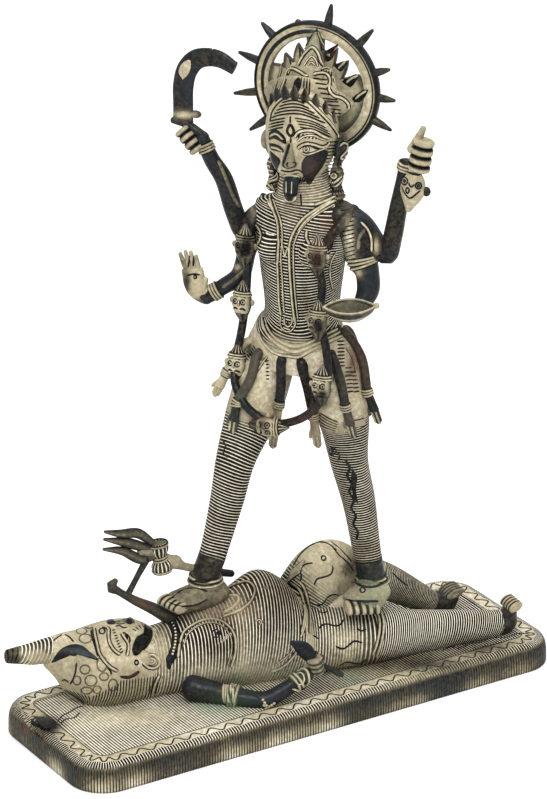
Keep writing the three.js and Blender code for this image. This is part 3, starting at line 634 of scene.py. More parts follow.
def patinated_brass():
    """Brass under a tan wash: dark grooves of patina and painted shade, crests lit by a painted highlight,
    polished dark high parts with a mottled blue-grey painted sheen, verdigris and red-brown stains.
    """
    material = bpy.data.materials.new("patinated_brass")
    material.use_nodes = True
    tree = material.node_tree
    tree.nodes.clear()
    start = Value(tree, None)
    read = lambda name: start.node("ShaderNodeAttribute", {"attribute_name": name}, out=2)
    shade, polish, stain, rust = (read(name) for name in ("shade", "polish", "stain", "rust"))
    where = start.node("ShaderNodeTexCoord", out=3)
    noise = lambda scale, detail: where.node("ShaderNodeTexNoise", Vector=where, Scale=scale, Detail=detail,
                                             Roughness=0.6)
    cloud, grain, grit = noise(*CLOUD), noise(*GRAIN), noise(*GRIT)
    worn = (shade + (cloud - 0.5) * 0.38 + (grain - 0.5) * 0.42).clamped()
    colour = start.node("ShaderNodeValToRGB", {"stops": WASH}, Fac=worn)
    mix = lambda factor, a, b: start.node("ShaderNodeMix", {"data_type": "RGBA"}, out=2, n0=factor, n6=a,
                                          n7=b)
    green = (stain * (0.35 + 1.6 * (grain - 0.25)) * (1 - polish * 0.75)).clamped()
    brown = (rust * (0.5 + 1.2 * (cloud - 0.3)) * (1 - polish * 0.5)).clamped()
    # A mottled blue-grey painted sheen over the polished dark parts
    painted_sheen = (polish * (cloud - 0.42) * 2.2).clamped()
    colour = mix(painted_sheen, colour, PAINTED_SHEEN_BLUE)
    colour = mix(brown * 0.7, colour, RED_BROWN)
    colour = mix(green * 0.75, colour, VERDIGRIS)
    bump = start.node("ShaderNodeBump", Strength=0.22, Distance=0.0002, Height=grain + grit * 0.5)
    rough = (0.62 - polish * 0.3 + (grain - 0.5) * 0.25).clamped()
    metal = (0.08 + polish * 0.34 - green).clamped()
    face = start.node("ShaderNodeBsdfPrincipled", Base_Color=colour, Roughness=rough, Metallic=metal,
                      Normal=bump, Specular_IOR_Level=0.05)
    start.node("ShaderNodeOutputMaterial", Surface=face)
    return material


def ribbon_on(limb, s, t, **look):
    """A wax thread laid on a limb; its normal is the skin's own step outwards."""
    path = limb.skin(s, t)
    return ribbon(path, unit(limb.skin(s, t, np.ones(len(s))) - path), **look)


def on_limb(limb, s, t, **look):
    """A wax thread laid on a limb along a smooth curve of lengths and angles, an angle counting as 8 mm."""
    table = along(np.stack([s, np.array(t) * 8], -1), 1.2)
    return ribbon_on(limb, table[:, 0], table[:, 1] / 8, **look)


def hoop(limb, s, **look):
    """A wax thread laid right round a limb at one length."""
    t = np.linspace(0, TURN, 49)
    return ribbon_on(limb, np.full(len(t), float(s)), t, tapered=False, **look)


# Ornament as drawn in the photograph's frame, in pixels
FACE = [
    ("comb", 5, 281, 103, 291, 100.5, 298, 101, 305, 104, 270.5, 118, 280, 115, 300, 114, 326, 123.5),
    ("comb", 4, 269, 121.5, 277, 119.5, 286, 118, 268, 131, 276.5, 128.5, 284, 127),
    ("hair", 4, 294, 118, 311, 121, 327, 128.5, 299, 127, 314, 129.5, 333, 138),
    ("comb", 7, 300, 133, 298, 138.5, 321, 135, 319, 140.5),
    ("comb", 10, 326, 142.5, 338, 141.5, 324, 172, 331, 171),
    ("comb", 5, 333, 195, 335, 185.5, 342.5, 191, 343.5, 180.5),
    ("comb", 4, 298.5, 176, 297.5, 185, 306, 176, 303.5, 183),
    ("rim", 289.5, 143, 287.5, 150, 285, 158, 283, 164, 286, 168, 291, 167.5),
    ("rim", 296, 162, 295.5, 166, 292, 167),
    ("rim", 298, 148.5, 303, 145, 310, 145, 318, 148.5, 325, 147),
    ("ink", 302, 152.5, 310, 153, 318, 151, 326, 148.5),
    ("ring", 306, 149, 2.6, 2.6),
    ("rim", 281.5, 171.5, 288, 174, 296, 172.5, 301.5, 172),
    ("cord", 269.5, 122, 271.5, 112, 279.5, 101, 288.5, 96, 296, 96, 306, 99.5, 319, 111.5, 331.5, 125,
     339.5, 138),
    ("ink", 290.5, 115.5, 290, 124),
    ("rim", 290.5, 123.5, 294, 132, 291, 136.5, 287, 131, 290.5, 123.5),
    ("ink", 290.5, 136.5, 291, 140, 290, 143.5),
    ("cord", 294.5, 138, 298, 132.5, 305, 130.5, 314, 131, 321.5, 135.5, 329.5, 139),
    ("fine", 296.5, 142, 303.5, 136.5, 314, 135.5, 321.5, 139, 327, 140.5),
    ("cord", 297, 149, 301, 145.5, 306.5, 143.5, 314, 144.5, 321.5, 147, 327, 145.5, 329.5, 141.5),
    ("fine", 301, 152, 306, 154.5, 314, 152.5, 321.5, 149.5, 328, 147),
    ("fine", 306, 146, 309, 149, 306, 152, 303.5, 149, 306, 146),
    ("ink", 290, 143.5, 288, 150.5, 285.5, 158, 283.5, 164.5),
    ("ink", 281.5, 162.5, 283.5, 167, 289.5, 168, 295, 166, 295, 162, 292, 163),
    ("ink", 288.5, 162, 286.5, 165, 288.5, 167),
    ("cord", 280.5, 170.5, 285.5, 172.5, 292, 172.5, 298.5, 171, 301.5, 173.5),
    ("fine", 281, 176, 288.5, 176, 296, 175.5, 301, 177.5),
    ("ink", 287.5, 179.5, 288, 191, 289, 198.5),
    ("ink", 292, 179.5, 292, 191, 291.5, 198.5),
    ("cord", 339.5, 146.5, 343, 143, 347, 145, 346, 150.5, 340, 158, 344.5, 159),
    ("ink", 338, 139, 345, 135.5, 351.5, 141.5, 351.5, 151.5, 345, 162, 339.5, 164.5),
    ("fine", 334, 173, 337, 176, 334, 178.5, 331, 176, 334, 173),
    ("cord", 331.5, 185.5, 338, 179.5, 342, 175.5),
    ("ink", 300.5, 193.5, 301.5, 206.5),
    ("fine", 266.5, 169.5, 268, 177, 273, 187.5, 275.5, 193.5),
    ("dark", 270, 150.5, 274, 154, 280.5, 160.5, 277.5, 169.5, 279.5, 178.5, 275.5, 177.5, 272.5, 168,
     270.5, 159),
    ("dark", 301.5, 163, 305, 157, 312.5, 153, 321.5, 150, 327.5, 150.5, 327, 158, 322.5, 167, 316.5, 175,
     309, 185, 305, 180, 301.5, 171),
    ("dark", 269, 132.5, 275.5, 129.5, 281, 132.5, 286, 139, 286, 144, 278.5, 140.5, 272, 138, 269, 140),
    ("dark", 269, 143, 275.5, 144, 282, 147.5, 284, 152, 276, 151, 270.5, 149),
    ("ring", 334, 176, 4, 4.5),
    ("dark", 284, 178, 296.5, 177, 297.5, 186, 296, 196, 291, 202, 285.5, 198.5, 283, 188),
    ("cord", 283.5, 176, 290, 175, 298, 176.5),
    ("ring", 340.5, 165, 3, 3),
    ("cord", 336, 200, 326, 205.5, 316.5, 212, 306, 221, 298.5, 231),
    ("cord", 267.5, 200, 270, 205, 273.5, 211),
    ("cord", 314, 205, 325, 201, 336, 196),
    ("cord", 269.5, 137, 276, 133.5, 284, 140),
    ("cord", 270.5, 147, 277, 148, 283, 151.5),
    # Two fine threads down the tongue: raised ridges, and their light tone is a painted highlight
    ("fine", 286.5, 180.5, 286.5, 194),
    ("fine", 292, 180.5, 291.5, 195),
    ("cord", 284.5, 197, 288, 201.5, 293, 200.5, 296, 196),
    ("ring", 333, 185, 3, 4),
    ("cord", 329, 181, 334, 187, 341, 181, 344, 176),
    ("comb", 5, 330, 190, 336, 199, 340, 184, 344, 193),
    ("ink", 267, 172, 268, 180, 273, 189),
    ("cord", 268, 168, 266, 177, 270, 186, 275, 190),
]
CROWN = [
    ("cord", 280.5, 91.5, 284.5, 81.5, 288.5, 69.5, 292.5, 68.5, 301, 72.5, 306, 76, 309, 75),
    ("cord", 312.5, 74.5, 319, 73, 326.5, 73.5, 330, 79.5, 329, 89.5, 334, 95.5, 342, 98, 348.5, 104.5,
     347.5, 117, 349.5, 122.5),
    ("fine", 320.5, 69, 327, 67.5, 333, 71.5, 334.5, 81.5, 339.5, 88, 349.5, 92, 352.5, 99.5),
    ("cord", 297.5, 66.5, 301, 59.5, 306, 52.5, 312.5, 47, 318, 53.5, 320.5, 61.5, 323.5, 66.5),
    ("fine", 303.5, 66.5, 307, 61, 312, 56, 316.5, 61.5, 318, 67.5),
    ("fine", 307.5, 66, 311.5, 62, 315.5, 66),
    ("cord", 306, 48.5, 310, 38, 317, 28, 321.5, 37, 325, 48.5),
    ("fine", 275.5, 98, 280, 86.5, 285, 74, 288.5, 65),
    ("fine", 273, 94, 277, 81.5, 280.5, 70),
    ("dark", 294, 91.5, 293, 86.5, 295.5, 79.5, 299, 77.5, 301.5, 81.5, 301, 86.5, 297.5, 93),
    ("comb", 5, 312.5, 78, 328, 80, 322, 98, 338, 100),
    ("comb", 5, 324, 101, 339, 102, 333, 117, 345, 118),
    ("comb", 6, 321, 68.5, 322, 73, 334, 71.5, 334, 78),
    ("comb", 6, 338, 88, 335.5, 93, 352, 97, 349.5, 102),
    ("comb", 5, 299, 76, 298, 81, 310, 78, 309, 96),
    ("fine", 300, 97, 311, 99.5, 324, 108, 334, 118, 342, 131),
]
FLAMES = [
    ("dark", 324, 52.5, 329, 47, 335, 46.5, 338, 43.5, 337.5, 48.5, 334.5, 54.5, 331.5, 59.5, 326.5,
     61.5),
    ("dark", 333.5, 65, 339.5, 61.5, 347.5, 60.5, 345.5, 66, 341, 71.5, 338, 70),
    ("dark", 342, 81.5, 348, 75.5, 359.5, 74.5, 356, 81.5, 350.5, 87, 347, 85.5),
    ("dark", 352, 98, 358.5, 93, 368, 89.5, 365, 97, 359.5, 102, 353.5, 101.5),
    ("dark", 317, 28, 321, 37, 324, 47.5, 321.5, 51, 314, 46, 307, 48.5, 310.5, 38),
    ("cord", 329, 57, 334, 50, 338, 45),
    ("cord", 338, 69, 343, 64, 347, 61),
    ("cord", 346, 83, 352, 78, 358.5, 75.5),
    ("cord", 355, 99.5, 361, 94, 367, 90.5),
    ("ink", 300, 62, 300, 52, 299, 45),
    ("ink", 291, 67, 290, 60, 287, 55),
    ("fine", 309, 47, 313, 39, 317, 31),
    ("fine", 324, 47, 321, 39, 318, 31),
    ("fine", 275, 92, 278, 80, 281, 70, 281, 63),
    ("fine", 281, 94, 285, 84, 287, 74, 288, 68),
    ("ink", 268, 83, 271, 83, 273, 86, 276, 86),
]
TRUNK = [
    ("cord", 269.5, 197, 273, 209, 277.5, 222, 278.5, 237, 277.5, 257, 278.5, 279, 279.5, 302, 281.5,
     316),
    ("fine", 273.5, 200, 277, 210, 281, 222, 282.5, 238, 281, 257, 282.5, 279, 283.5, 302, 284.5, 314),
    ("cord", 332, 200.5, 316.5, 209, 303, 219, 295, 230, 290, 243.5, 289.5, 259, 291, 285, 293, 307, 295,
     323),
    ("fine", 335, 204, 319, 213, 306.5, 222.5, 298.5, 233, 294, 245, 293.5, 259, 294.5, 285, 296.5, 307,
     298, 320),
    ("fine", 281, 238, 283, 248, 285, 257),
    ("fine", 288, 247, 286, 253, 285, 257),
    ("fine", 281, 316, 280.5, 324, 284.5, 331, 291, 331, 295.5, 324, 295, 316),
    ("fine", 284.5, 317, 284.5, 323, 288, 327, 292, 323, 292, 317),
    ("ring", 289, 323.5, 2, 2),
    ("cord", 252, 222, 258.5, 227, 261.5, 237, 257, 246, 251, 249),
    ("fine", 250, 226.5, 255.5, 231, 257.5, 238, 254, 243.5),
    ("cord", 307, 230, 306.5, 238, 310, 245),
    ("dark", 325, 247, 328, 238, 332, 234.5, 333.5, 242, 331, 250),
    ("ring", 251, 236, 2, 2.5),
    ("ring", 318, 254, 2, 2),
    ("fine", 337, 251, 331, 262, 330, 276, 333, 290),
    ("ink", 343, 205, 338, 212, 334, 221),
    ("cord", 354, 208, 349, 222, 346, 240, 345.5, 262),
]
SKIRT = [
    ("cord", 262, 317, 265.5, 330, 270.5, 337.5, 278, 344.5, 287.5, 350, 295, 352, 303, 350, 319, 342.5,
     333, 335.5, 345, 329),
    ("cord", 266, 323, 270, 331, 276, 338, 284, 343.5, 295, 346.5, 306, 344, 320, 337, 338, 328.5),
    ("cord", 259.5, 332, 262, 339.5, 270.5, 350, 279, 354.5, 289, 356, 298.5, 357, 310, 351, 326.5, 342.5,
     343, 335.5),
    ("fine", 262, 317, 266, 316),
    ("comb", 6, 265, 361, 269.5, 360.5, 265.5, 379, 270, 379),
    ("comb", 6, 245, 356, 249, 361, 253, 345, 256, 350),
    ("comb", 8, 336.5, 341.5, 345, 341, 337, 366, 345.5, 365.5),
    ("comb", 7, 344.5, 368, 352.5, 367.5, 346, 392, 354, 391),
    ("comb", 6, 350, 372, 357, 372, 353, 392, 360, 391),
    ("fine", 254, 376, 258.5, 369, 263.5, 361.5, 268, 356),
    ("fine", 249, 388, 252.5, 378.5, 256, 370),
    ("fine", 345.5, 347, 350.5, 354, 354, 364, 356.5, 373.5),
    ("hatch", 5, 313, 419.5, 322.5, 427, 336, 432, 319.5, 413.5, 329, 419.5, 338.5, 423.5),
    ("hatch", 4, 352, 427, 359, 425.5, 366.5, 423.5, 350.5, 422, 358, 421, 365, 419),
    ("dark", 278, 359, 282.5, 358, 286.5, 359, 284, 370, 283.5, 384.5, 281, 394, 278, 393, 278, 378.5),
    ("dark", 299, 361.5, 303.5, 360.5, 307, 362.5, 309, 378.5, 311, 398, 310.5, 407.5, 306.5, 402.5,
     302.5, 384.5, 300.5, 371),
    ("comb", 7, 349.5, 333, 352.5, 331.5, 354.5, 346, 357.5, 345),
]
ARMS = [
    ("cord", 360.5, 222, 367, 229, 371, 238, 372, 252),
    ("ink", 376, 258, 380, 255, 384, 258, 388, 256),
    ("ridge", 218, 160, 225, 176, 234, 198, 240, 208),
    ("ridge", 366, 228, 360, 236, 358, 250),
    ("ridge", 245, 270, 232, 281, 222, 288),
    ("hair", 13, 340, 211, 354.5, 208, 343.5, 262, 356, 258),
    ("ring", 404.5, 181, 3.2, 3.8),
    ("ring", 404.5, 181, 1.2, 1.4),
    ("ring", 418.5, 185.7, 3.2, 3.2),
    ("ring", 418.5, 185.7, 1.2, 1.2),
    ("ink", 401.5, 186, 404.5, 193, 410, 198.5, 415, 195, 421, 190),
    ("ink", 408.5, 182, 411, 187.5, 414.5, 184),
    ("ring", 407.5, 190.5, 1.6, 3),
    ("rim", 407, 172, 415, 174, 426, 175.5),
    ("ink", 193, 277, 195, 275, 197, 277, 195, 279, 193, 277),
    ("ink", 186, 276, 193, 274, 201, 275),
    ("ink", 188, 268, 190, 255),
    ("ink", 193, 267, 194, 254),
]
SICKLE_MARKS = [
    ("tan", 182.9, 80, 178.6, 72, 182.3, 63, 190.2, 59.4, 191.4, 65.5, 188.9, 74),
    ("rim", 184, 78, 180.8, 72, 184, 65, 189, 62),
    ("rim", 184, 78, 188, 71, 189, 62),
    ("ring", 184.6, 70.5, 1.8, 2.2),
]
LEG_SEAM = [
    ("rim", 345, 460, 350, 468, 347, 476, 352, 484, 349, 492, 354, 500, 351, 508, 356, 516, 353, 524, 358,
     532, 356, 540),
    ("ring", 332.5, 451, 3.6, 3.6),
    ("ring", 332.5, 451, 1.4, 1.4),
    ("ink", 336, 451, 340, 456, 337, 461),
    ("ink", 222, 440, 226, 446, 223, 452, 228, 458),
    ("dark", 352, 468, 357, 476, 356, 490, 358, 504, 354, 498, 351, 480),
]
FEET = [
    ("rim", 184, 576, 192, 580, 204, 581.5, 214, 579.5, 223, 575),
    ("ink", 172, 598, 182, 590, 196, 588, 208, 592),
    ("ink", 168, 602, 180, 606, 196, 605, 208, 599),
    ("ring", 362.6, 590, 2.6, 2.6),
    ("rim", 354, 582, 362, 586, 372, 587, 382, 583.5, 388, 576),
    ("rim", 345, 600, 352, 601, 366, 601.5, 379, 601),
]
PLINTH_MARKS = [
    ("dark", 31, 719, 36, 717, 44, 718, 53, 720, 55, 725, 47, 728, 36, 727, 31, 724),
    ("ink", 57, 722, 62, 716, 70, 712, 76, 708, 84, 706),
    ("ink", 60, 724, 66, 719, 74, 718, 80, 712),
    ("ink", 441, 651.5, 451, 647, 460, 648.5, 470, 643.5, 480, 642.5, 492, 637.5, 505, 638, 518, 633.5,
     530, 634),
    ("ink", 472, 651, 484, 646.5, 496, 644, 508, 640.5),
    ("beads", 31, 716, 36, 722, 41, 728, 48, 731),
    ("beads", 22, 712, 27, 722, 34, 731, 42, 738),
]
SHIVA_HEAD = [
    ("dark", 51, 663, 55, 656, 61, 649, 69, 645, 76.5, 644, 83, 646, 89.5, 651.5, 97, 657.5, 99, 661,
     94.5, 659.5, 88, 656.5, 81.5, 652, 75.5, 648.5, 69.5, 649.5, 64, 652, 60, 657, 55, 662),
    ("dark", 68, 651.5, 71.5, 648, 76.5, 648.5, 78.5, 651.5, 75.5, 656, 70, 655),
    ("ink", 76.5, 662.5, 75.5, 671.5, 72.5, 680.5, 69.5, 685),
    ("ink", 61, 681.5, 65, 679.5, 69, 683),
    ("curl", 81.5, 631, 5.5, 3),
    ("curl", 85.5, 638.5, 6.5, 4.5),
    ("curl", 102, 664, 5, 7.5),
    ("curl", 85, 669.5, 5, 4.5),
    ("curl", 77, 680.5, 4, 4.5),
    ("curl", 91, 680.5, 6, 5.5),
    ("curl", 86.5, 690.5, 5.5, 3.5),
    ("curl", 113, 685, 4.5, 6),
    ("curl", 104, 676.5, 4.5, 4),
    ("ring", 102, 631, 3, 3),
    ("curl", 97, 689.5, 4, 4),
    ("cord", 94, 627, 95, 634.5, 97, 643.5, 99.5, 653.5, 104.5, 661, 111, 667.5, 118.5, 671.5),
    ("ink", 91, 628.5, 92, 637, 94.5, 644.5, 97, 653.5, 98, 657),
    ("ink", 64, 634, 69.5, 637, 74, 642.5),
    ("ink", 51, 643.5, 56, 638.5, 62.5, 634),
    ("ink", 65, 632, 72.5, 628, 81.5, 626.5, 89.5, 628.5, 94, 627),
    ("cord", 102, 626.5, 108.5, 628.5, 108.5, 635.5, 110, 643.5, 115, 651, 121, 655),
    ("comb", 9, 111.5, 630.5, 115.5, 629.5, 120, 653.5, 123.5, 650.5),
    ("cord", 121, 633, 124.5, 638.5, 128, 644, 128, 651, 126.5, 656.5),
    ("ink", 122, 632, 126.5, 634, 130, 638.5, 129, 643.5),
    ("dark", 123.5, 635.5, 125.5, 634.5, 128, 637, 127.5, 640.5, 125.5, 640),
    ("dark", 106.5, 620.5, 109.5, 618.5, 114, 620, 115.5, 623.5, 111, 624.5, 107, 623.5),
    ("dark", 125.5, 622.5, 128, 618.5, 132, 620, 131.5, 624, 128, 624),
    ("ink", 115.5, 623.5, 121, 624, 125.5, 623),
    ("ink", 115, 627, 119.5, 625, 122.5, 627.5, 127.5, 627.5),
    ("comb", 4, 132, 628.5, 136.5, 631, 141, 622, 144.5, 628.5),
    ("dark", 144, 624, 149, 625.5, 152.5, 630.5, 152, 638.5, 148, 646, 141.5, 652.5, 135, 656, 132, 651.5,
     134, 642, 136.5, 637, 141.5, 634, 144.5, 632, 145.5, 627.5),
    ("cord", 141.5, 661, 146.5, 656, 153, 655, 159, 660, 159.5, 664, 154.5, 668, 148, 667.5, 142, 662.5),
    ("fine", 146.5, 661.5, 150.5, 658.5, 155, 660, 155, 662.5, 150.5, 664.5, 147, 662.5),
    ("ring", 136.5, 662.5, 2, 2.5),
    ("dark", 119.5, 675.5, 125.5, 676.5, 131.5, 675, 138.5, 670.5, 139.5, 672.5, 134, 677, 126.5, 679,
     120.5, 677.5),
    ("ink", 107, 667.5, 111, 671.5, 111, 675.5),
    ("hair", 8, 61, 688, 71.5, 695, 81.5, 702, 88, 695, 90, 701, 88, 706.5),
    ("hair", 9, 94, 695, 92.5, 701, 90, 706.5, 118.5, 683, 116.5, 694.5, 111, 706),
    ("hair", 12, 121, 679.5, 119.5, 694.5, 113.5, 706, 153.5, 675.5, 152, 689.5, 148.5, 705.5),
    ("cord", 159.5, 674.5, 155, 684, 152, 694.5, 150.5, 706),
    ("strap", 170.5, 618.5, 175, 629.5, 176, 642, 172.5, 655, 168, 663),
    ("beads", 171.5, 621, 175.5, 630.5, 175.5, 642, 172.5, 654),
    ("dark", 166, 661, 171.5, 659, 172, 664, 169.5, 669.5, 167, 667.5),
]
SHIVA_CHEST = [
    ("cord", 222.5, 617, 242, 609, 252.5, 599, 255, 589, 249, 582, 240, 583, 228.5, 588, 215, 597, 204,
     605, 189, 612, 174.5, 616),
    ("cord", 223, 613, 233, 607, 239, 600, 238, 596, 230, 596, 219, 601, 207, 608),
    ("cord", 180, 643, 184, 632, 193, 625, 204, 620, 215, 619.5, 226, 624, 234, 634, 235.5, 650, 231,
     668),
    ("fine", 184, 645, 188, 634, 195.5, 628, 205, 623.5, 214.5, 623, 224, 627.5, 230.5, 637, 231.5, 650,
     227.5, 666),
    ("cord", 180, 643, 179, 650, 178, 658),
    ("ring", 216, 633.5, 4, 4),
    ("ring", 216, 633.5, 1.5, 1.5),
    ("cord", 159, 675, 154, 687, 151, 705),
    ("fine", 162.5, 675, 158, 687, 155, 704),
    ("cord", 302, 604, 304.5, 614, 304.5, 625, 300, 638),
    ("fine", 256, 622, 259, 619, 262, 622, 259, 625),
    ("fine", 262, 590, 265, 587, 268, 590),
    ("cord", 298.5, 643, 296, 652, 290, 660, 282, 667, 270, 672),
    ("fine", 296, 640, 292, 650, 286, 657, 276, 664),
]
SHIVA_CLOTH = [
    ("cord", 289.5, 582, 299, 589, 303, 599, 304, 612, 303, 623, 301, 633),
    ("cord", 294, 578, 303, 586, 307.5, 599, 309.5, 612, 309.5, 634),
    ("hatch", 5, 285, 584, 293, 577, 301, 571, 290, 572, 297, 567, 305, 560),
    ("rim", 293, 566, 299, 556, 307, 548, 315, 543.5, 322, 542, 330, 545, 337, 551),
    ("ink", 325, 541.5, 332, 547, 339, 555, 347, 562, 354, 571),
    ("ink", 330, 541, 338, 547, 346, 555, 352, 562),
    ("ring", 323.5, 558, 2.5, 2.5),
    ("ink", 313.5, 563, 308, 563.5, 302.5, 566, 300.5, 572, 301.5, 578, 298, 584),
    ("ink", 332, 564.5, 333, 569, 331, 574, 324, 577, 317, 579, 314, 585.5),
    ("ink", 310.5, 603, 316, 605, 322, 604.5, 328, 597, 333.5, 594.5, 341, 596),
    ("ink", 319, 629, 322, 625, 328, 624, 335.5, 626, 341, 624, 343.5, 619),
    ("ink", 335, 646, 343, 649, 349, 645, 354.5, 641, 363, 643),
    ("ink", 339, 666, 347, 662, 354.5, 663.5, 362, 663, 367, 658),
    ("ink", 312.5, 635, 316, 637, 319, 639),
    ("ink", 317, 610, 322, 613, 328, 611),
    ("ink", 350, 603, 354, 609, 352, 616),
    ("ink", 356, 627, 361, 631, 367, 629),
    ("cord", 381, 612, 383.5, 622, 383, 633, 379.5, 648, 375.5, 658),
    ("cord", 377, 612, 379.5, 622, 379, 633, 376, 646, 372, 656),
    ("cord", 386, 560, 384, 568, 386, 578),
    ("ink", 392, 572, 400, 580, 408, 586),
]
SHIVA_ARM = [
    ("cord", 291.5, 669, 299, 668, 307, 671, 308, 684, 301, 690, 292, 689),
    ("fine", 295.5, 674, 302, 673, 304, 681, 299, 685, 296, 682),
    ("hatch", 5, 224, 683, 223, 694, 225, 704, 233, 684, 233, 694, 232, 704),
    ("ink", 270, 690, 280, 687, 292, 680),
    ("ink", 238, 694, 250, 694, 262, 700),
    ("beads", 263, 700, 268, 706, 274, 703),
    ("beads", 264, 705, 269, 709),
    ("ink", 300, 655, 304, 648, 307, 641),
    ("hatch", 4, 316, 650, 322, 647, 322, 664, 328, 659),
]

# Plinth
SIDE_THREAD = 1.76
FIELD_THREAD = 1.8
ZIGZAG = 11.3
CORE_X = PLINTH_LENGTH / 2 - PLINTH_CORNER
CORE_Y = PLINTH_DEPTH / 2 - PLINTH_CORNER
RUNS = np.cumsum([0] + [2 * CORE_X, PLINTH_CORNER * TURN / 4, 2 * CORE_Y, PLINTH_CORNER * TURN / 4] * 2)
CORE_PLACES = np.array([[-1, -1], [1, -1], [1, -1], [1, 1], [1, 1], [-1, 1], [-1, 1], [-1, -1], [-1, -1]])
CORE_ANGLES = np.array([-1, -1, 0, 0, 1, 1, 2, 2, 3]) * TURN / 4
FIELD_RADIUS = PLINTH_CORNER - EDGE_INSET - BORDER_WIDTH
BORDER_TOP = PLINTH_TOP + BORDER_RELIEF
SIDE_RELIEF = 0.42
# Up the side: heights, then how plainly the grooves show there and how dark the threads are
SIDE_GROOVES = ([0, 1, 5, 8, 12, 13.5, 14.5, 16], [0.6, 0.95, 0.85, 0.55, 0.3, 0.35, 0.9, 1])
SIDE_TONES = ([0, 9, 13, 14.4, 15.4], [0.96, 0.97, 0.95, 0.3, 0.05])


def rim(q, inset, z):
    """Place at length q round the outer edge, moved in by an inset: a core rectangle's edge plus a radius."""
    q = q % RUNS[-1]
    angle = np.interp(q, RUNS, CORE_ANGLES)
    x = np.interp(q, RUNS, CORE_PLACES[:, 0] * CORE_X) + np.cos(angle) * (PLINTH_CORNER - inset)
    y = np.interp(q, RUNS, CORE_PLACES[:, 1] * CORE_Y) + np.sin(angle) * (PLINTH_CORNER - inset)
    return np.stack(np.broadcast_arrays(x, y, z), -1)


def breaking_wave(q):
    """The border's zigzag as an inset: a rise inwards, then a somewhat quicker fall back to the edge."""
    f = (q / (RUNS[-1] / round(RUNS[-1] / ZIGZAG))) % 1
    climb = 0.5 - 0.5 * np.cos(np.pi * np.clip(f / 0.55, 0, 1))
    slide = 0.5 + 0.5 * np.cos(np.pi * np.clip((f - 0.55) / 0.45, 0, 1))
    return EDGE_INSET + 1.3 + 5.0 * np.where(f < 0.55, climb, slide)


def plinth_slab():
    """Slab from its underside up to the border's inner edge: rings of insets and heights, with upright threads.

    The threads run up the side and lean a little, and end at the border's zigzag.
    """
    count = round(RUNS[-1] / SIDE_THREAD)
    phase = thread_rows(count)[:-1]
    q = phase * RUNS[-1] / count
    lean = 0.35 * np.sin(q / 23.0) + 0.25 * np.sin(q / 7.1)
    rise, groove = thread_profile(phase)
    wave = breaking_wave(q)
    share = np.linspace(0, 1, 15)
    insets = np.concatenate([[3, 0.4], EDGE_INSET * (1 - np.sqrt(1 - share**4))])
    heights = np.concatenate([[0, 0], 0.5 + (BORDER_TOP - 0.5) * share])
    side = insets[:, None] + SIDE_RELIEF * (1 - rise)
    over = np.stack([EDGE_INSET + (wave - EDGE_INSET) * k for k in (0.05, 0.1, 0.15)])
    level = lambda inset: np.full(len(q), inset)
    border = np.stack([EDGE_INSET + (wave - EDGE_INSET) * 0.2, wave + 0.1, level(12.8),
                       level(EDGE_INSET + BORDER_WIDTH), level(EDGE_INSET + BORDER_WIDTH + 0.2), level(18.0)])
    inset = np.concatenate([side, over, border])
    z = np.concatenate([np.repeat(heights[:, None], len(q), 1),
                        BORDER_TOP - 0.25 * (1 - rise) * np.ones((3, 1)),
                        np.repeat(np.array([[BORDER_TOP] * 4 + [14.6] * 2]).T, len(q), 1)])
    patchy = np.clip(0.5 + 0.4 * np.sin(q / 13.0 + 2 * np.sin(q / 31)) + 0.25 * np.sin(q / 5.3 + 1), 0, 1)
    bright = np.interp(heights, *SIDE_GROOVES)[:, None]
    bright = bright * np.where(heights[:, None] > 13, 1, 0.25 + 0.75 * patchy)
    marks = np.concatenate([groove * bright, np.repeat(groove[None], 3, 0), np.zeros((6, len(q)))])
    dark = np.interp(heights, *SIDE_TONES)[:, None]
    tone = np.concatenate([np.clip(dark + 0.06 * patchy - 0.06, 0, 1), np.zeros((9, len(q)))])
    return wrap(rim(q + lean * np.linspace(0, 1, len(inset))[:, None], inset, z), marks, tone)


def plinth_field():
    """The field inside the border: threads across it, which fade out towards the right."""
    half_x = CORE_X + FIELD_RADIUS
    phase = thread_rows(2 * half_x / FIELD_THREAD)
    x = -half_x + 0.02 + phase * FIELD_THREAD
    past = np.clip(np.abs(x) - CORE_X, 0, FIELD_RADIUS)
    reach = CORE_Y + np.sqrt(np.clip(FIELD_RADIUS**2 - past**2, 0.01, None))
    rise, groove = thread_profile(phase)
    across = np.concatenate([[-1], np.linspace(-1, 1, 26), [1]])
    inner = (np.arange(28) > 0) & (np.arange(28) < 27)
    strength = 0.42 + 0.58 / (1 + np.exp(-(x[:, None] + 55 + 30 * across) / 24))
    z = np.where(inner, PLINTH_TOP + 0.3 + 0.3 * (rise[:, None] - 1) * strength, 14.0)
    grid = np.stack([x[:, None] + 0.5 * np.sin(across * 2.4), reach[:, None] * across, z], -1)
    # the grooves fade with the strength, but the crests keep their full painted highlight
    marks = np.where(groove[:, None] > 0, groove[:, None] * strength, groove[:, None]) * inner
    return wrap(grid, marks, 0.16 * strength - 0.06)


def rim_line(inset, points, width, height, flank, sink):
    """A thread laid on the border all the way round, at an inset that may vary along it."""
    q = np.linspace(0, RUNS[-1], points)
    path = rim(q, inset(q), BORDER_TOP)
    return ribbon(path, np.tile(UP, (points, 1)), width, height, 1.0, flank, sink, tapered=False)


def plinth():
    """Slab and field, the ornament drawn on the field, the zigzag, and the line inside the border."""
    shells = [plinth_slab(), plinth_field()]
    shells += relief(Ground(*shells), PLINTH_MARKS)
    shells.append(rim_line(breaking_wave, 1500, 1.15, 0.6, 0.0, 0.3))
    shells.append(rim_line(lambda q: 14.7, 500, 0.9, 0.55, 0.0, 0.4))
    return shells


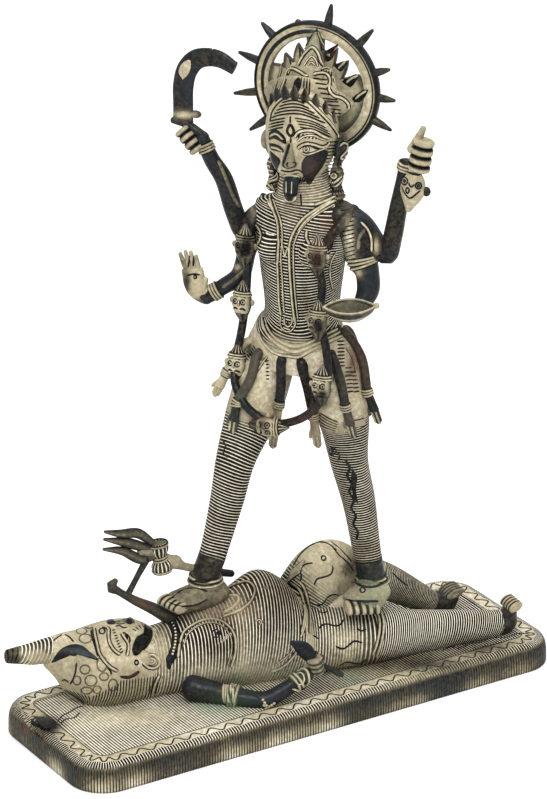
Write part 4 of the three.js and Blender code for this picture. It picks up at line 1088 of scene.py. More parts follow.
# Shiva
SIDEWAYS = (0, 1, 0)
his_body = Limb(his, [
    [-161, -1, 33, 4], [-147, -0.5, 32, 6.4], [-134, 0, 31, 8.8],
    *[[x, y, top * 0.42, w, top * 0.58] for x, y, w, top in [
        (-126, 1, 14, 39), (-116, 0, 22, 43), (-102, -1, 25, 43.5), (-86, -1, 22, 36), (-68, -1, 21, 37),
        (-50, 0, 28, 44), (-32, 0, 28.5, 48), (-12, 0, 29, 59.5), (3, 0, 28.5, 52), (16, -1, 27, 37),
        (34, -4, 23.5, 31), (60, -8, 17, 28), (84, -8.5, 12.5, 23.5), (110, -8, 10, 19), (138, -7, 8, 14)]]],
    SIDEWAYS, dome=0.4, level=True)
his_skull = Limb(his, [
    [-137, 0, 31, 8.6, 8.8], [-130, 0.5, 27.5, 12, 13.2], [-122, 0.5, 22, 17.5, 19],
    [-112, 0, 19, 22.5, 23.8], [-102, -1, 18.3, 25, 25.2], [-86, -1, 15.1, 22.4, 21.3], [-76, -1, 15, 20, 20]],
    SIDEWAYS, dome=0.3, level=True)
his_knee = Limb(his, [
    [12, 10, 18, 17, 14], [24, 12, 38, 16, 17], [37, 13, 49, 14.5, 17.5], [52, 14, 43, 12.5, 14],
    [74, 15, 34, 11], [96, 16, 20, 8.4], [110, 17, 11, 6.4], [126, 16, 12, 6.6, 4.6]], SIDEWAYS)
# The stations where his bun, chest, belly, lap and shin end
BUN_END, CHEST_START, CHEST_FAN, BELLY_STOP, LAP_START, CLOTH_END, SHIN_END = (
    his_body.stops[k] for k in (2, 6, 7, 11, 12, 14, 17))
BELLY_END = BELLY_STOP + 8
# His breasts: middle, radii, thread and tone
HIS_BREASTS = [((-43, -13.5, 30), (15.5, 11.5, 12), 1.78, 0.05), ((-36, 12, 36), (20, 11, 10), 1.9, 0.1)]


def fluted(limb, count, span, rows=30, tone=0.0, twist=0.0, depth=1.0):
    """Wax threads laid lengthwise: the groove depends on the angle alone, plus a twist along the length."""
    s = np.linspace(*span, rows)
    phase = thread_rows(count)[:-1]
    rise, groove = thread_profile(phase)
    s, t = np.meshgrid(s, phase * TURN / count, indexing="ij")
    grid = limb.skin(s, t + twist * (s - span[0]), depth * THREAD_HEIGHT * (rise - 1) * np.ones_like(s))
    return wrap(grid, depth * groove * np.ones_like(s), tone)


def ribs(figure, start, stop, count, across, deep, axis, tone=0.0, swell=0.3):
    """Rounded ribs side by side, such as toes or folded fingers: rings between them are drawn in and dark,
    patina with painted shade in the gaps.
    """
    start, stop = np.array(start, float), np.array(stop, float)
    row = Limb(figure, [[*start, across, deep], [*((start + stop) / 2), across, deep], [*stop, across, deep]],
               axis, dome=0.5)
    pitch = (row.length + row.ends.sum()) / count
    phase = np.arange(0, count + 1e-6, 1 / 10)
    p, t = np.meshgrid(phase, np.linspace(0, TURN, 28, endpoint=False), indexing="ij")
    f = p % 1
    rise = np.sqrt(np.clip(1 - (2 * f - 1) ** 2, 0, 1))
    lift = swell * min(across, deep) * (rise - 1)
    groove = np.clip(1.6 - 5 * np.minimum(f, 1 - f), 0, 1) * ((p > 0.5) & (p < count - 0.5))
    return wrap(row.skin(-row.ends[0] + pitch * p, t, lift), groove, tone)


def bangles(limb, s, count, gap=1.7, width=1.7, height=1.0, tone=0.1):
    """Rings of round wire side by side about a place along a limb."""
    return [hoop(limb, s + (k - (count - 1) / 2) * gap, width=width, height=height, tone=tone, sink=0.1)
            for k in range(count)]


def his_head():
    """Bun of slanting threads, hair, jaw, nose and ears, with the face and hair drawn on them."""
    bun = threaded(his_body, 2.2, 40, (-1.6, BUN_END + 4), height=0.6,
                   wave=lambda s, t: 2.2 * np.cos(t) * np.clip((s + 1) / 6, 0, 1),
                   mask=lambda s, t: np.clip((s - 3) / 6, 0.15, 0.8),
                   tone=lambda s, t: np.clip(1 - (s - 5) / 3, 0.06, 1))
    hair = smooth(his_skull, 80, 72, 0.07, span=(-2, his_skull.length))
    jaw = smooth(Limb(his, [[-107, -1, 30, 14, 11], [-98, -1, 30, 16, 13.6], [-85, -1, 30, 14.5, 12],
                            [-75, -1, 29, 8, 7]], SIDEWAYS), 40, 48, 0.08)
    nose = smooth(Limb(his, [[-97, -1, 42, 2], [-88, -1, 41.5, 3.4]], SIDEWAYS), 8, 16, 0.5)
    ears = [ball(his, his.at(-86, -1 + side * 16.5, 25), (5, 4.5, 6.5), tone=0.2) for side in (-1, 1)]
    face = Ground(hair, jaw, nose, smooth(his_body, 120, 48, span=(CHEST_START, his_body.length)))
    return [bun, hair, jaw, nose, *ears, *relief(face, SHIVA_HEAD)]


def his_trunk():
    """Chest and belly ringed with threads that fan out over the chest, and two ringed breasts."""
    fan = lambda s, t: 1.8 * np.cos(t) * np.sin((s - CHEST_FAN) / 60)
    upper = lambda s, t: np.clip(0.55 + 0.6 * np.cos(t), 0.5, 1)
    shells = [threaded(his_body, 1.88, 96, (CHEST_START, BELLY_END), fan, upper,
                       lambda s, t: 0.3 * upper(s, t) - 0.14)]
    shells += [ball(his, his.at(*place), radii, pitch, 0, 56, tone=tone)
               for place, radii, pitch, tone in HIS_BREASTS]
    torso = Ground(smooth(his_body, 120, 48), *[ball(his, his.at(*row[0]), row[1]) for row in HIS_BREASTS])
    return shells + relief(torso, SHIVA_CHEST)


def his_cloth():
    """Cloth over belly and thighs, threads round the raised thigh, smooth knee, and the gap filled below it."""
    knee = his_knee.stops
    cloth = threaded(his_body, 1.9, 96, (BELLY_END - 1, CLOTH_END - 2), tone=0.05,
                     wave=lambda s, t: 5 * np.sin(t) * np.clip((s - BELLY_STOP) / 20, 0, 1)
                     * np.clip((CLOTH_END - 2 - s) / 10, 0, 1),
                     mask=lambda s, t: 0.85 * np.clip((s - LAP_START + 4) / 6, 0, 1))
    thigh = threaded(his_knee, 1.6, 76, (-4, knee[2] + 6), tone=0.05,
                     mask=lambda s, t: 0.75 * np.clip((knee[2] - 4 - s) / 12, 0.08, 1))
    drape = smooth(his_knee, 30, 64, 0.06, span=(knee[2] + 2, knee[3] + 10))
    below = smooth(Limb(his, [[30, 8, 27, 10, 6], [41, 9, 29.5, 9, 6], [52, 10, 27, 8, 6]], SIDEWAYS), 24, 32,
                   0.06)
    lap = Ground(smooth(his_body, 120, 48), smooth(his_knee, 80, 48))
    return [cloth, thigh, drape, below, *relief(lap, SHIVA_CLOTH)]


def his_legs():
    """Ringed shin and calf, two dark feet and their toes."""
    knee = his_knee.stops
    shin = threaded(his_body, 1.48, 76, (CLOTH_END - 4, SHIN_END), height=0.3, tone=0.06,
                    wave=lambda s, t: 2.5 * np.cos(t) + 0.6 * np.sin(s / 9))
    calf = threaded(his_knee, 1.22, 60, (knee[3] + 9, knee[5] + 10), tone=0.26, height=0.28)
    far_foot = smooth(Limb(his, [[104, 16.5, 12, 7, 8.5], [112, 17, 12.5, 6.5, 8.5], [119, 17, 17, 5.5, 4]],
                           SIDEWAYS, dome=0.5), 24, 28, 0.85)
    near_foot = smooth(Limb(his, [[135, -7, 6, 7.5, 6.5], [142, -7.5, 7, 6.5, 7], [144, -7.5, 12, 6.6, 4.6],
                                  [145, -7.5, 15.5, 6.8, 3.2]], SIDEWAYS, dome=0.4), 24, 28, 0.85)
    near_toes = ribs(his, (146, -13.4, 17.8), (145.4, -0.6, 17.4), 5, 4.6, 2.8, (0.88, 0, 0.47), 0.2)
    far_toes = ribs(his, (118, 11.5, 20), (117, 22.5, 20), 5, 6, 2.6, (0.95, 0, 0.3), 0.35)
    return [shin, calf, far_foot, near_foot, near_toes, far_toes]


def his_arms():
    """Near arm along the plinth with ruffled armlet, bangles, fist, blade and stick; plain far arm."""
    upper = Limb(his, [[-60, -27, 8, 7.5], [-42, -37.5, 5, 5.8], [-24, -47.5, 3.6, 5], [-13, -49.5, 8.5, 4.5],
                       [2, -48, 15.5, 4]], (0.4, 1, 0))
    shells = [smooth(upper, 60, 32, 0.9)]
    shells += bangles(upper, upper.stops[1] + 3, 3, 1.9, 2.2, 1.6, 0.2)
    shells += bangles(upper, upper.stops[3] + 9, 2, 2.4, 1.9, 1.3, 0.1)
    shells.append(ribs(his, (6, -48, 24.5), (8, -46.5, 16.5), 4, 4.8, 5.2, (1, 0, 0), 0.3))
    blade = Limb(his, [[6, -47, 23, 3.4, 3], [0, -46, 31, 4.4, 2.4], [-7, -45, 36, 1, 0.9]], (1, 0, 1))
    shells.append(smooth(blade, 20, 20, 1.0))
    shells.append(tube([his.at(9, -46, 21), his.at(25, -45.5, 9)], 1.5, 0.9))
    shells += relief(Ground(*shells), SHIVA_ARM)
    far = Limb(his, [[-58, 27, 9, 7.5, 8], [-38, 33, 5, 6], [-12, 35, 3, 5], [10, 33, 2.4, 5, 3.6],
                     [22, 32, 1.6, 3.5, 2]], SIDEWAYS)
    shells.append(smooth(far, 50, 28, 0.6))
    shells += bangles(far, far.stops[1], 3, 1.9, 1.8, 1.1)
    shells += bangles(far, far.stops[3] - 6, 3, 1.9, 1.8, 1.0)
    return shells


def cobra_and_trident():
    """Cobra rod with its curled knob, strut, shaft with knobs, hourglass drum and three leaf prongs."""
    cobra = Limb(his, [[-62, 3, 38, 4.3], [-72, 2, 46, 3.65], [-84, 1, 54, 2.7], [-95, 0, 62.5, 2.3],
                       [-98.5, 0, 65.5, 3.4, 3], [-96, 0, 69, 1.6]])
    strut = Limb(his, [[-89, 1, 57.5, 1.9], [-83, 1.7, 67.5, 1.7], [-77.1, 2.4, 77, 2.1]])
    shaft = Limb(ground, [[-36, 24, 62, 2.6], [-52, 25, 69, 2.6], [-56, 25.5, 72, 4.2], [-60, 26, 75, 2.5],
                          [-69, 26, 81, 3.1], [-78, 26, 84, 2.6]])
    tail = Limb(ground, [[-34, 26, 61, 2.6], [-26, 27, 57.5, 2.4], [-17, 28, 54, 2.1]])
    drum = Limb(ground, [[-64.2, 26, 68.6, 5.8, 5.1], [-64.6, 26, 72.6, 6, 5.3], [-65.5, 26, 77, 3.6, 3.4],
                         [-66.4, 26, 82, 6, 5.3], [-66.8, 26, 86, 5.8, 5.1]], dome=0.3)
    prongs = [
        [[-71, 26, 88, 2.2, 2], [-80, 26, 95.5, 3, 2.4], [-91, 26, 98, 2.4, 2.4], [-101, 26, 101.5, 0.9]],
        [[-71, 26, 83, 2.6, 2.2], [-86, 26, 91, 3, 2.4], [-101.5, 26, 97, 0.9]],
        [[-70, 26, 79, 2.6, 2.2], [-78, 26, 79, 3, 2.4], [-90, 26, 87, 2.6, 2.4], [-102, 26, 91, 0.9]]]
    shells = [smooth(limb, 30, 18, tone)
              for limb, tone in ((cobra, 0.75), (strut, 0.8), (shaft, 0.3), (tail, 0.9))]
    # each prong is lighter along its middle, a painted highlight, and darker towards its edges
    painted_highlight_middle = lambda s, t: 0.5 + 0.5 * np.abs(np.sin(t)) ** 1.5
    shells += [smooth(Limb(ground, rows), 40, 20, painted_highlight_middle) for rows in prongs]
    shells.append(fluted(drum, 15, (0, drum.length), 24, 0.15, depth=0.8))
    shells += [hoop(drum, drum.stops[2] + k, width=1.5, height=0.9, tone=0.1) for k in (-0.9, 0.9)]
    shells += [hoop(drum, k, width=1.4, height=0.5, tone=0.2) for k in (0.4, drum.length - 0.4)]
    return shells


# Kali
her_legs = {
    "right": Limb(her, [
        [-20, -2, 184, 15, 17], [-23.8, -9, 163, 15.4, 16.5], [-27, -14.5, 149, 14.4, 14.6],
        [-31.3, -23.4, 128, 11.4], [-34.2, -28.7, 105, 9.8], [-38.8, -38, 74, 8], [-41.8, -42, 61.7, 8.2],
        [-41.8, -42, 58.5, 9.2], [-41.8, -42, 55.5, 9.4]], dome=0.2),
    "left": Limb(her, [
        [18, 1, 184, 16, 17], [21, 5, 163, 16.6, 16.5], [22.4, 8, 149, 14.2, 14.6], [24, 11.1, 124.5, 11],
        [27.6, 16.8, 98, 9.6], [31, 22, 63, 8.2], [32.7, 24.5, 48.2, 8.2], [32.7, 24.5, 45, 9.2],
        [32.7, 24.5, 42, 9.4]], dome=0.2)}
her_trunk = Limb(her, [
    [-0.5, 0, 183, 34, 17.5], [-0.5, 0, 195, 33, 19], [-0.5, -0.5, 206, 27.5, 18], [0, -1, 214, 22.6, 16.5],
    [0, -1.5, 242, 24.6, 17], [0, -1, 256, 27, 17], [0.5, 0, 268, 30, 15.5], [1.5, 0.5, 278, 28.5, 13],
    [1.5, 0.5, 285, 19, 12.5], [0.5, 0, 294, 15, 12], [0, 0, 306, 14, 12]], dome=0.25)
her_head = Limb(her, [
    [0, -5, 294, 7, 6], [0, -4.5, 300, 13, 11], [0, -4, 308, 18, 14], [0, -2.5, 319, 20.6, 16.2],
    [0, -1, 331, 20, 16.4], [0, 1.5, 341, 15, 13], [0, 4, 347, 7, 7]], dome=0.4)
her_nape = Limb(her, [[0, 5, 312, 13, 8], [0, 8, 324, 16, 9], [0, 9, 338, 15, 8.6]])


# Her legs: the thread's width, how far its rings swing, and the stations where cloth and ankle end
LEG_THREADS = {"right": (1.8, 1.1), "left": (1.66, 1.3)}
CLOTH_STATION, ANKLE_STATION = 2, 6
# Her feet: heel, ball, first and last toe, the way across the toes, how wide the foot is, and its tone
HER_FEET = [
    ([-36, -36, 50], [-50.5, -60, 51.5], [-58.5, -62, 52], [-44.5, -66, 50.5], (0.8, -0.25, -0.05), 1.0, 0.45),
    ([35, 24, 41], [34.5, 5, 38.5], [30, -4, 38.8], [43.4, 8, 37.1], (0.74, 0.67, -0.08), 1.28, 0.3)]


def legs():
    """Her legs: smooth where the cloth covers them, and ringed with thread below it."""
    shells = []
    for name, (pitch, swing) in LEG_THREADS.items():
        limb = her_legs[name]
        start = limb.stops[CLOTH_STATION] - 10
        shells.append(threaded(
            limb, pitch, 72, (start, limb.stops[ANKLE_STATION] - 12), tone=0.18,
            wave=lambda s, t: swing * np.cos(t - 2.9) + 0.5 * np.sin(2 * t + s / 13),
            mask=lambda s, t: np.clip((s - start - 3 - 5 * np.cos(t)) / 5, 0, 1)))
        shells.append(smooth(limb, 24, 56, 0.03, span=(-3, start + 0.5)))
    return shells + relief(Ground(*[smooth(limb, 80, 56) for limb in her_legs.values()]), LEG_SEAM)


def feet():
    """Her dark ankles, two anklets on each, the feet and their ribbed toes."""
    shells = []
    for limb in her_legs.values():
        ankle = limb.stops[ANKLE_STATION]
        shells.append(smooth(limb, 20, 40, 0.9, span=(ankle - 12.3, ankle + 1)))
        shells += [hoop(limb, ankle + k, width=1.7, height=1.6, tone=0.05, sink=0.3) for k in (0.6, 3.2)]
        shells.append(smooth(limb, 12, 40, 0.3, span=(ankle, limb.length + 1.5)))
    for heel, sole, first, last, row, wide, tone in HER_FEET:
        heel, sole = np.array(heel, float), np.array(sole, float)
        foot = Limb(her, [[*heel, 8 * wide, 7], [*(heel + (sole - heel) * 0.45), 8.6 * wide, 8.4],
                          [*sole, 9 * wide, 4.6]], row, 0.7)
        shells.append(smooth(foot, 30, 32, tone))
        shells.append(ribs(her, first, last, 5, 5.8, 3, sole - heel, 0.16))
    return shells + relief(Ground(*shells), FEET)


# Her breasts: how far from the middle, and the radii
BREAST_X = 12.5
BREAST_RADII = (9.5, 9, 9.5)


def trunk():
    """Her trunk: smooth cloth on the hips, threads that sag in front up to the shoulders, ringed neck.

    The sag is greatest at the waist and least at the shoulders, and it follows the front half of the turn.
    """
    waist, shoulder = her_trunk.stops[2] + 4, her_trunk.stops[8]
    fall = 15.0
    low = waist - fall + 2
    front_half = lambda t: np.clip(0.5 + 0.5 * np.cos(t) + 0.35 * np.sin(t) ** 2, 0, 1)
    sag = lambda s, t: (fall * np.clip(1 - (s - low) / 75, 0.12, 1) ** 1.2) * front_half(t)
    tucked = lambda s, t: -0.5 * np.clip((s - low - sag(low, t)) / 0.8, 0, 1)
    hips = smooth(her_trunk, 70, 96, 0.02, span=(-3, waist + 3), shape=tucked)
    stripes = threaded(her_trunk, 1.72, 96, (low, shoulder), sag, tone=0.16)
    neck = threaded(her_trunk, 1.5, 64, (shoulder - 1.5, her_trunk.length), tone=0.12, mask=lambda s, t: 0.62)
    places = [her.at(side * BREAST_X, -12, 256) for side in (-1, 1)]
    breasts = [ball(her, place, BREAST_RADII, 1.9, 2, 48, tone=0.15) for place in places]
    skin = smooth(her_trunk, 120, 72)
    front = Ground(skin, *[ball(her, place, BREAST_RADII) for place in places])
    lap = Ground(skin, *[smooth(limb, 80, 56) for limb in her_legs.values()])
    return [hips, stripes, neck, *breasts, *relief(front, TRUNK), *relief(lap, SKIRT)]


# Her earring: how far across each station lies, and how much further at her left
DROP_ACROSS = ((20, 2), (18.5, 1.5), (19, 1.5), (19, 2))


def head():
    """Her face and the back of the head that carries the halo, nose, tongue, ears and earrings.

    The ear and earring at her left are larger and darker, as that side is the nearer one.
    """
    shells = [smooth(her_head, 60, 72, 0.12), smooth(her_nape, 30, 40, 0.6)]
    nose = Limb(her, [[0, -15, 327, 1.8, 1.6], [0, -18.5, 316, 2.6, 2.4], [0, -19, 309, 4.2, 3.2]])
    tongue = Limb(her, [[0, -13.5, 303, 4.2, 2.4], [0, -16.5, 294, 4.2, 2], [0, -17, 288, 3, 1.6]])
    shells += [smooth(nose, 20, 20, 0.35), smooth(tongue, 20, 24, 0.9)]
    for side in (-1, 1):
        near = (side + 1) / 2
        top, middle, low, tip = (side * (x + more * near) for x, more in DROP_ACROSS)
        drop = Limb(her, [[top, 2, 313 + 8 * near, 3.6], [top, 2, 309 + 4 * near, 4], [middle, 1, 305, 2.6, 3],
                          [middle, 1, 300, 4.2, 4], [low, 1, 293, 2.4, 3], [tip, 1, 287, 4, 4.2]])
        shells.append(threaded(drop, 2.6, 28, tone=0.1 + 0.4 * near, height=0.7,
                               mask=lambda s, t: 0.5 + 0.5 * near))
        shells.append(ball(her, her.at(side * (22 + 1.3 * near), -1, 314.6), (2.6, 5.4, 5.6 + 1.6 * near),
                           tone=0.35 + 0.5 * near))
    return shells + relief(Ground(*shells, smooth(her_trunk, 60, 60)), FACE)


# Halo: its middle and radii, and where its plane lies in her frame
HALO_MIDDLE = (0, 342.3)
HALO_REACH = 37.9
HALO_OPENING = 28.6
HALO_Y = 18
# The band by radius: how proud front and back stand, and the tones at her left, then at her right
BAND_FRONT = ([28.6, 29.2, 31.5, 33.9, 34.4, 35.2, 35.8, 36.8, 37.6, 37.9],
              [0.9, 2.0, 2.6, 2.1, 1.7, 2.2, 1.8, 3.1, 2.2, 0.6])
BAND_BACK = ([28.6, 30, 33, 36, 37.9], [1.0, 2.1, 2.6, 2.8, 1.2])
BROAD_RING = ([28.6, 29.0, 29.3, 33.9, 34.2, 34.8, 35.0, 35.4, 35.7],
              [0.9, 0.7, 0.05, 0.05, 1, 1, 0.1, 0.1, 1])
DOUBLE_RING = ([28.6, 29.2, 31.1, 31.5, 33.2, 33.5, 35.8, 36.1], [0.3, 0.05, 0.05, 1, 1, 0.05, 0.05, 1])
# Angles clockwise from straight up: the disc's edge, notched into flames, and the spikes with their reach
DISC_EDGE = np.array([
    [80, 29.5], [120, 29.5], [180, 29.5], [240, 29.5], [290, 29.5], [296, 22], [312, 26], [310, 18],
    [334.5, 26.6], [337, 19], [347, 23], [348.5, 29.5], [368.5, 29.5], [370, 23], [379, 17], [387.3, 27],
    [397, 17.9], [407, 25.8], [426, 17.4], [427, 26.8], [440, 29.5]])
SPIKES = [(10, 49.7), (42, 50.5), (70, 47), (92, 47.6), (113, 49.3), (-127, 52), (-102, 52.6), (-74, 50.3),
          (-46, 47.4), (-18, 39.4)]


def halo_place(angle, radius, y):
    """A place of the halo's plane: the angle runs clockwise from straight up."""
    a = np.radians(angle)
    local = np.stack(np.broadcast_arrays(HALO_MIDDLE[0] + radius * np.sin(a), y,
                                         HALO_MIDDLE[1] + radius * np.cos(a)), -1)
    return her.foot + local @ her.axes


def halo_band():
    """The rimmed band: its section runs out along the front and back behind, and closes as a ring."""
    front = np.linspace(HALO_OPENING, HALO_REACH, 36)
    back = np.linspace(HALO_REACH, HALO_OPENING, 10)
    radius = np.concatenate([front, back])
    y = np.concatenate([-np.interp(front, *BAND_FRONT), np.interp(back, *BAND_BACK)])
    angle = np.linspace(0, 360, 240, endpoint=False)
    grid = halo_place(angle[:, None], radius, HALO_Y + y)
    share = np.clip(0.5 + 2.5 * np.sin(np.radians(angle)), 0, 1)[:, None]
    tone = (share * np.interp(radius, *BROAD_RING) + (1 - share) * np.interp(radius, *DOUBLE_RING)).ravel()
    rows, columns = grid.shape[:2]
    ids = np.arange(rows * columns).reshape(rows, columns)
    on, beside = np.roll(ids, -1, 0), np.roll(ids, -1, 1)
    quads = np.stack([ids, beside, np.roll(on, -1, 1), on], -1).reshape(-1, 4)
    return Shell(grid.reshape(-1, 3), quads, np.zeros((0, 3), int), 0.0, tone)


def halo_disc():
    """The pierced disc: rings from its middle to the notched edge on the front, and back again behind."""
    spin = np.concatenate([np.linspace(80, 290, 60)[:-1], np.linspace(290, 440, 260)[:-1]])
    edge = np.interp(spin, *DISC_EDGE.T)
    share = np.concatenate([[0.02], np.linspace(0.3, 0.96, 8), [1.0, 1.0], np.linspace(0.96, 0.02, 4)])
    y = HALO_Y + np.concatenate([np.full(9, -1.9), [-1.3, 1.3], np.full(4, 1.7)])
    grid = halo_place(spin, edge * share[:, None], y[:, None])
    return wrap(grid, 0.0, np.where(share > 0.9, 0.6, 0.1)[:, None])


def halo():
    """Band, disc with its drawn flames, and tapering spikes."""
    shells = [halo_band(), halo_disc()]
    shells += relief(Ground(*shells), FLAMES)
    for angle, reach in SPIKES:
        root, tip = halo_place(np.array([angle] * 2), np.array([HALO_REACH - 2, reach]), HALO_Y)
        middle = (root + tip) / 2
        shells.append(tube([root, middle, tip], np.array([2.6, 2.1, 0.8]), 0.84, sides=12, step=0.8))
    return shells


def crown():
    """Curved band round the brow, cap, tall middle leaf and nine petals along the hairline."""
    band = [[22 * np.sin(angle), 11 - 14 * np.cos(angle), 333 + 14 * np.cos(angle) ** 1.2, 3, 7.5]
            for angle in np.radians(np.linspace(-74, 74, 7))]
    cap = Limb(her, [[0, 3, 334, 20, 7], [0.5, 5.5, 345, 17.5, 5], [0.5, 8, 352, 14.5, 3.4],
                     [0.5, 9.5, 357, 12, 3]], dome=0.4)
    tall = Limb(her, [[0, 1, 343, 8.5, 3], [0, 6, 354, 9.5, 2.4], [0, 12, 364, 5, 2.4],
                      [0, 16.5, 374, 1, 1.4]])
    shells = [smooth(Limb(her, band, SIDEWAYS), 60, 32, 0.2), smooth(cap, 30, 40, 0.12),
              smooth(tall, 40, 32, 0.25)]
    marks = relief(Ground(*shells, smooth(her_head, 60, 60)), CROWN)
    for angle in np.radians(np.arange(-72, 73, 18)):
        x, y = 18 * np.sin(angle), 1.5 - 12.5 * np.cos(angle)
        h = 322 + 22.5 * np.cos(angle) ** 0.9
        petal = Limb(her, [[x, y, h - 1.5, 1.6, 1], [x * 1.05, y * 1.05, h + 1.5, 2.8, 1.6],
                           [x * 1.13, y * 1.1, h + 7, 0.8]])
        shells.append(smooth(petal, 16, 18, lambda s, t: 0.75 + 0.25 * np.cos(2 * t)))
    return shells + marks


her_arms = {
    "sickle": Limb(her, [
        [-20, 0, 273, 8, 7], [-30, 1, 266, 6.6], [-37, 1, 257, 5.6, 5.4], [-42.5, 0.5, 268, 5.4],
        [-49, 0, 287, 5.1], [-56, -0.6, 297.5, 4.6], [-62, -1, 310, 4]], SIDEWAYS),
    "open": Limb(her, [
        [-27, -1, 266, 7], [-33, -3, 248, 5.4], [-36.5, -6, 233, 5.4], [-44, -9.8, 227, 4.7],
        [-54, -14, 220, 4.4]], SIDEWAYS),
    "raised": Limb(her, [
        [22, 0, 277, 9, 8], [34, 1, 271, 8.6, 7.6], [44.5, 1, 261, 6.6, 6.2], [51, 0.5, 257, 5.4],
        [54, 0, 267, 5.4], [58, -1, 287, 5], [61.5, -1.7, 304, 4.5], [63, -2, 312, 4.5]], SIDEWAYS),
    "bowl": Limb(her, [
        [29, 0, 268, 9, 8], [35, 0, 257, 7.2, 9.6], [37, -0.4, 251, 7, 8.6], [39.5, -0.8, 245, 6.8],
        [41, -3, 236, 6.4], [39.5, -9, 228.5, 5, 4.6], [38.5, -15, 224.6, 4.2, 2.2]], SIDEWAYS)}
# Where the arms wear their bangles: station, and how far past it
BANGLES_AT = {"sickle": (5, 7.5), "open": (3, 6), "raised": (7, -0.5)}
# How far above the palm each finger of the open hand reaches
FINGER_RISE = (0.5, 2.5, 2.2, 0.5)


def open_hand():
    """The open palm with its thumb and four fingers, which spread a little."""
    palm = Limb(her, [[-52, -14, 219.5, 4.6, 3.6], [-59, -14.5, 225, 7, 3], [-62, -14.5, 236, 6.8, 2.3]],
                (1, 0, 0.25), 0.3)
    thumb = Limb(her, [[-55, -15, 224, 2], [-52.2, -17, 232, 1.5]])
    shells = [smooth(palm, 30, 32, 0.15), smooth(thumb, 12, 16, 0.15)]
    for finger, rise in enumerate(FINGER_RISE):
        root = [-57.5 - finger * 2.7, -14.5, 234.5]
        tip = [-59.5 - finger * 3.3, -14.5, 243.5 + rise]
        middle = [(a + b) / 2 for a, b in zip(root, tip)]
        shells.append(smooth(Limb(her, [[*root, 1.5], [*middle, 1.5, 1.4], [*tip, 1.1]]), 14, 16, 0.2))
    return shells


def arms():
    """Four dark arms with their bangles, open hand, fists, and the severed head hanging from a fist."""
    shells = [smooth(limb, 70, 32, 0.92) for limb in her_arms.values()]
    for name, (station, past) in BANGLES_AT.items():
        shells += bangles(her_arms[name], her_arms[name].stops[station] + past, 3)
    shells += bangles(her_arms["bowl"], her_arms["bowl"].stops[2] - 0.5, 3, 1.9, 1.7, 1.0)
    shells += open_hand()
    shells.append(ribs(her, (-72.5, -3.5, 313), (-63.5, -3.5, 303.5), 4, 4.8, 5.4, (0.7, 0, 0.7), 0.15))
    shells.append(ribs(her, (71, -4, 312), (73.5, -4, 327.5), 4, 6.4, 5.4, (1, 0, 0), 0.1))
    shells.append(smooth(Limb(her, [[67, -3, 322, 3.4, 3.4], [73, -3, 335, 1.6]]), 16, 20, 0.15))
    severed = Limb(her, [[69, -6, 311, 3], [69, -6, 305, 6.4, 4.4], [68.5, -7, 299, 7, 4.6],
                         [66.5, -7, 288.5, 1.8]])
    shells.append(smooth(severed, 40, 32, 0.12))
    shells.append(ball(her, her.at(76.5, -6, 300), (2.4, 2, 2.8), tone=0.9))
    return shells + relief(Ground(*shells), ARMS)


def sickle():
    """Flat curved blade of an oval section, its straight cut end, knobbed guard and handle."""
    blade = Limb(her, [
        [-73.8, 0, 317, 6.2, 2.2], [-73.8, 0, 327, 6.2, 2.2], [-73.6, 0, 338, 6.3, 2.2],
        [-71.2, 0, 347.5, 6.2, 2.2], [-66, 0, 354, 5.8, 2.2], [-59.5, 0, 356.6, 5.4, 2.2],
        [-51, 0, 356.5, 5, 2.2], [-41.8, 0, 352.4, 4, 2.1]], (1, 0, 0), 0.1)
    shells = [smooth(blade, 70, 40, 0.9)]
    shells += relief(Ground(*shells), SICKLE_MARKS)
    guard = Limb(her, [[-79.5, -1, 317.5, 2], [-70, -1.5, 316, 2.4], [-60, -1, 310, 2.8]], SIDEWAYS)
    shells.append(smooth(guard, 30, 20, 0.9))
    shells.append(ball(her, her.at(-66, 0, 322.5), (3.4, 2.4, 2.2), tone=0.85))
    return shells


# Bowl: its middle, half length and half width, the way its tip points, and its section from the foot up to the
# lip and down inside, each row a share of the radius, a height and a tone
BOWL_PLACE = (39.2, -24, 233.4)
BOWL_HALF = (15, 11.8)
BOWL_TIP = (0.88, 0.42, 0.02)
BOWL_SECTION = np.array([
    [0.05, -8.6, 0.9], [0.35, -8.2, 0.9], [0.6, -7, 0.9], [0.7, -6, 0.1], [0.8, -4.8, 0.1], [0.86, -3.8, 0.85],
    [0.95, -1.6, 0.8], [1.0, -0.1, 0.05], [0.96, 0.3, 0.0], [0.9, 0.0, 0.1], [0.87, -0.8, 0.9],
    [0.8, -1.6, 0.5], [0.6, -3.6, 0.6], [0.3, -4.9, 0.5], [0.04, -5.2, 0.5]])


def bowl():
    """Leaf-shaped dish: each ring is an oval pinched towards its tips by 0.3 · cos² · |sin| of the angle."""
    long = unit(her.way(*BOWL_TIP))
    wide = np.cross(UP, long)
    angle = np.linspace(0, TURN, 96, endpoint=False)
    pinch = 1 - 0.3 * np.cos(angle) ** 2 * np.abs(np.sin(angle))
    share, height, tone = BOWL_SECTION.T[..., None]
    x = share * BOWL_HALF[0] * np.cos(angle) * pinch
    y = share * BOWL_HALF[1] * np.sin(angle) * pinch
    grid = her.at(*BOWL_PLACE) + x[..., None] * long + y[..., None] * wide + height[..., None] * UP
    return [wrap(grid, 0.0, tone), bead(her, her.at(52.5, -17.5, 233.5), 1.8, tone=0.1)]


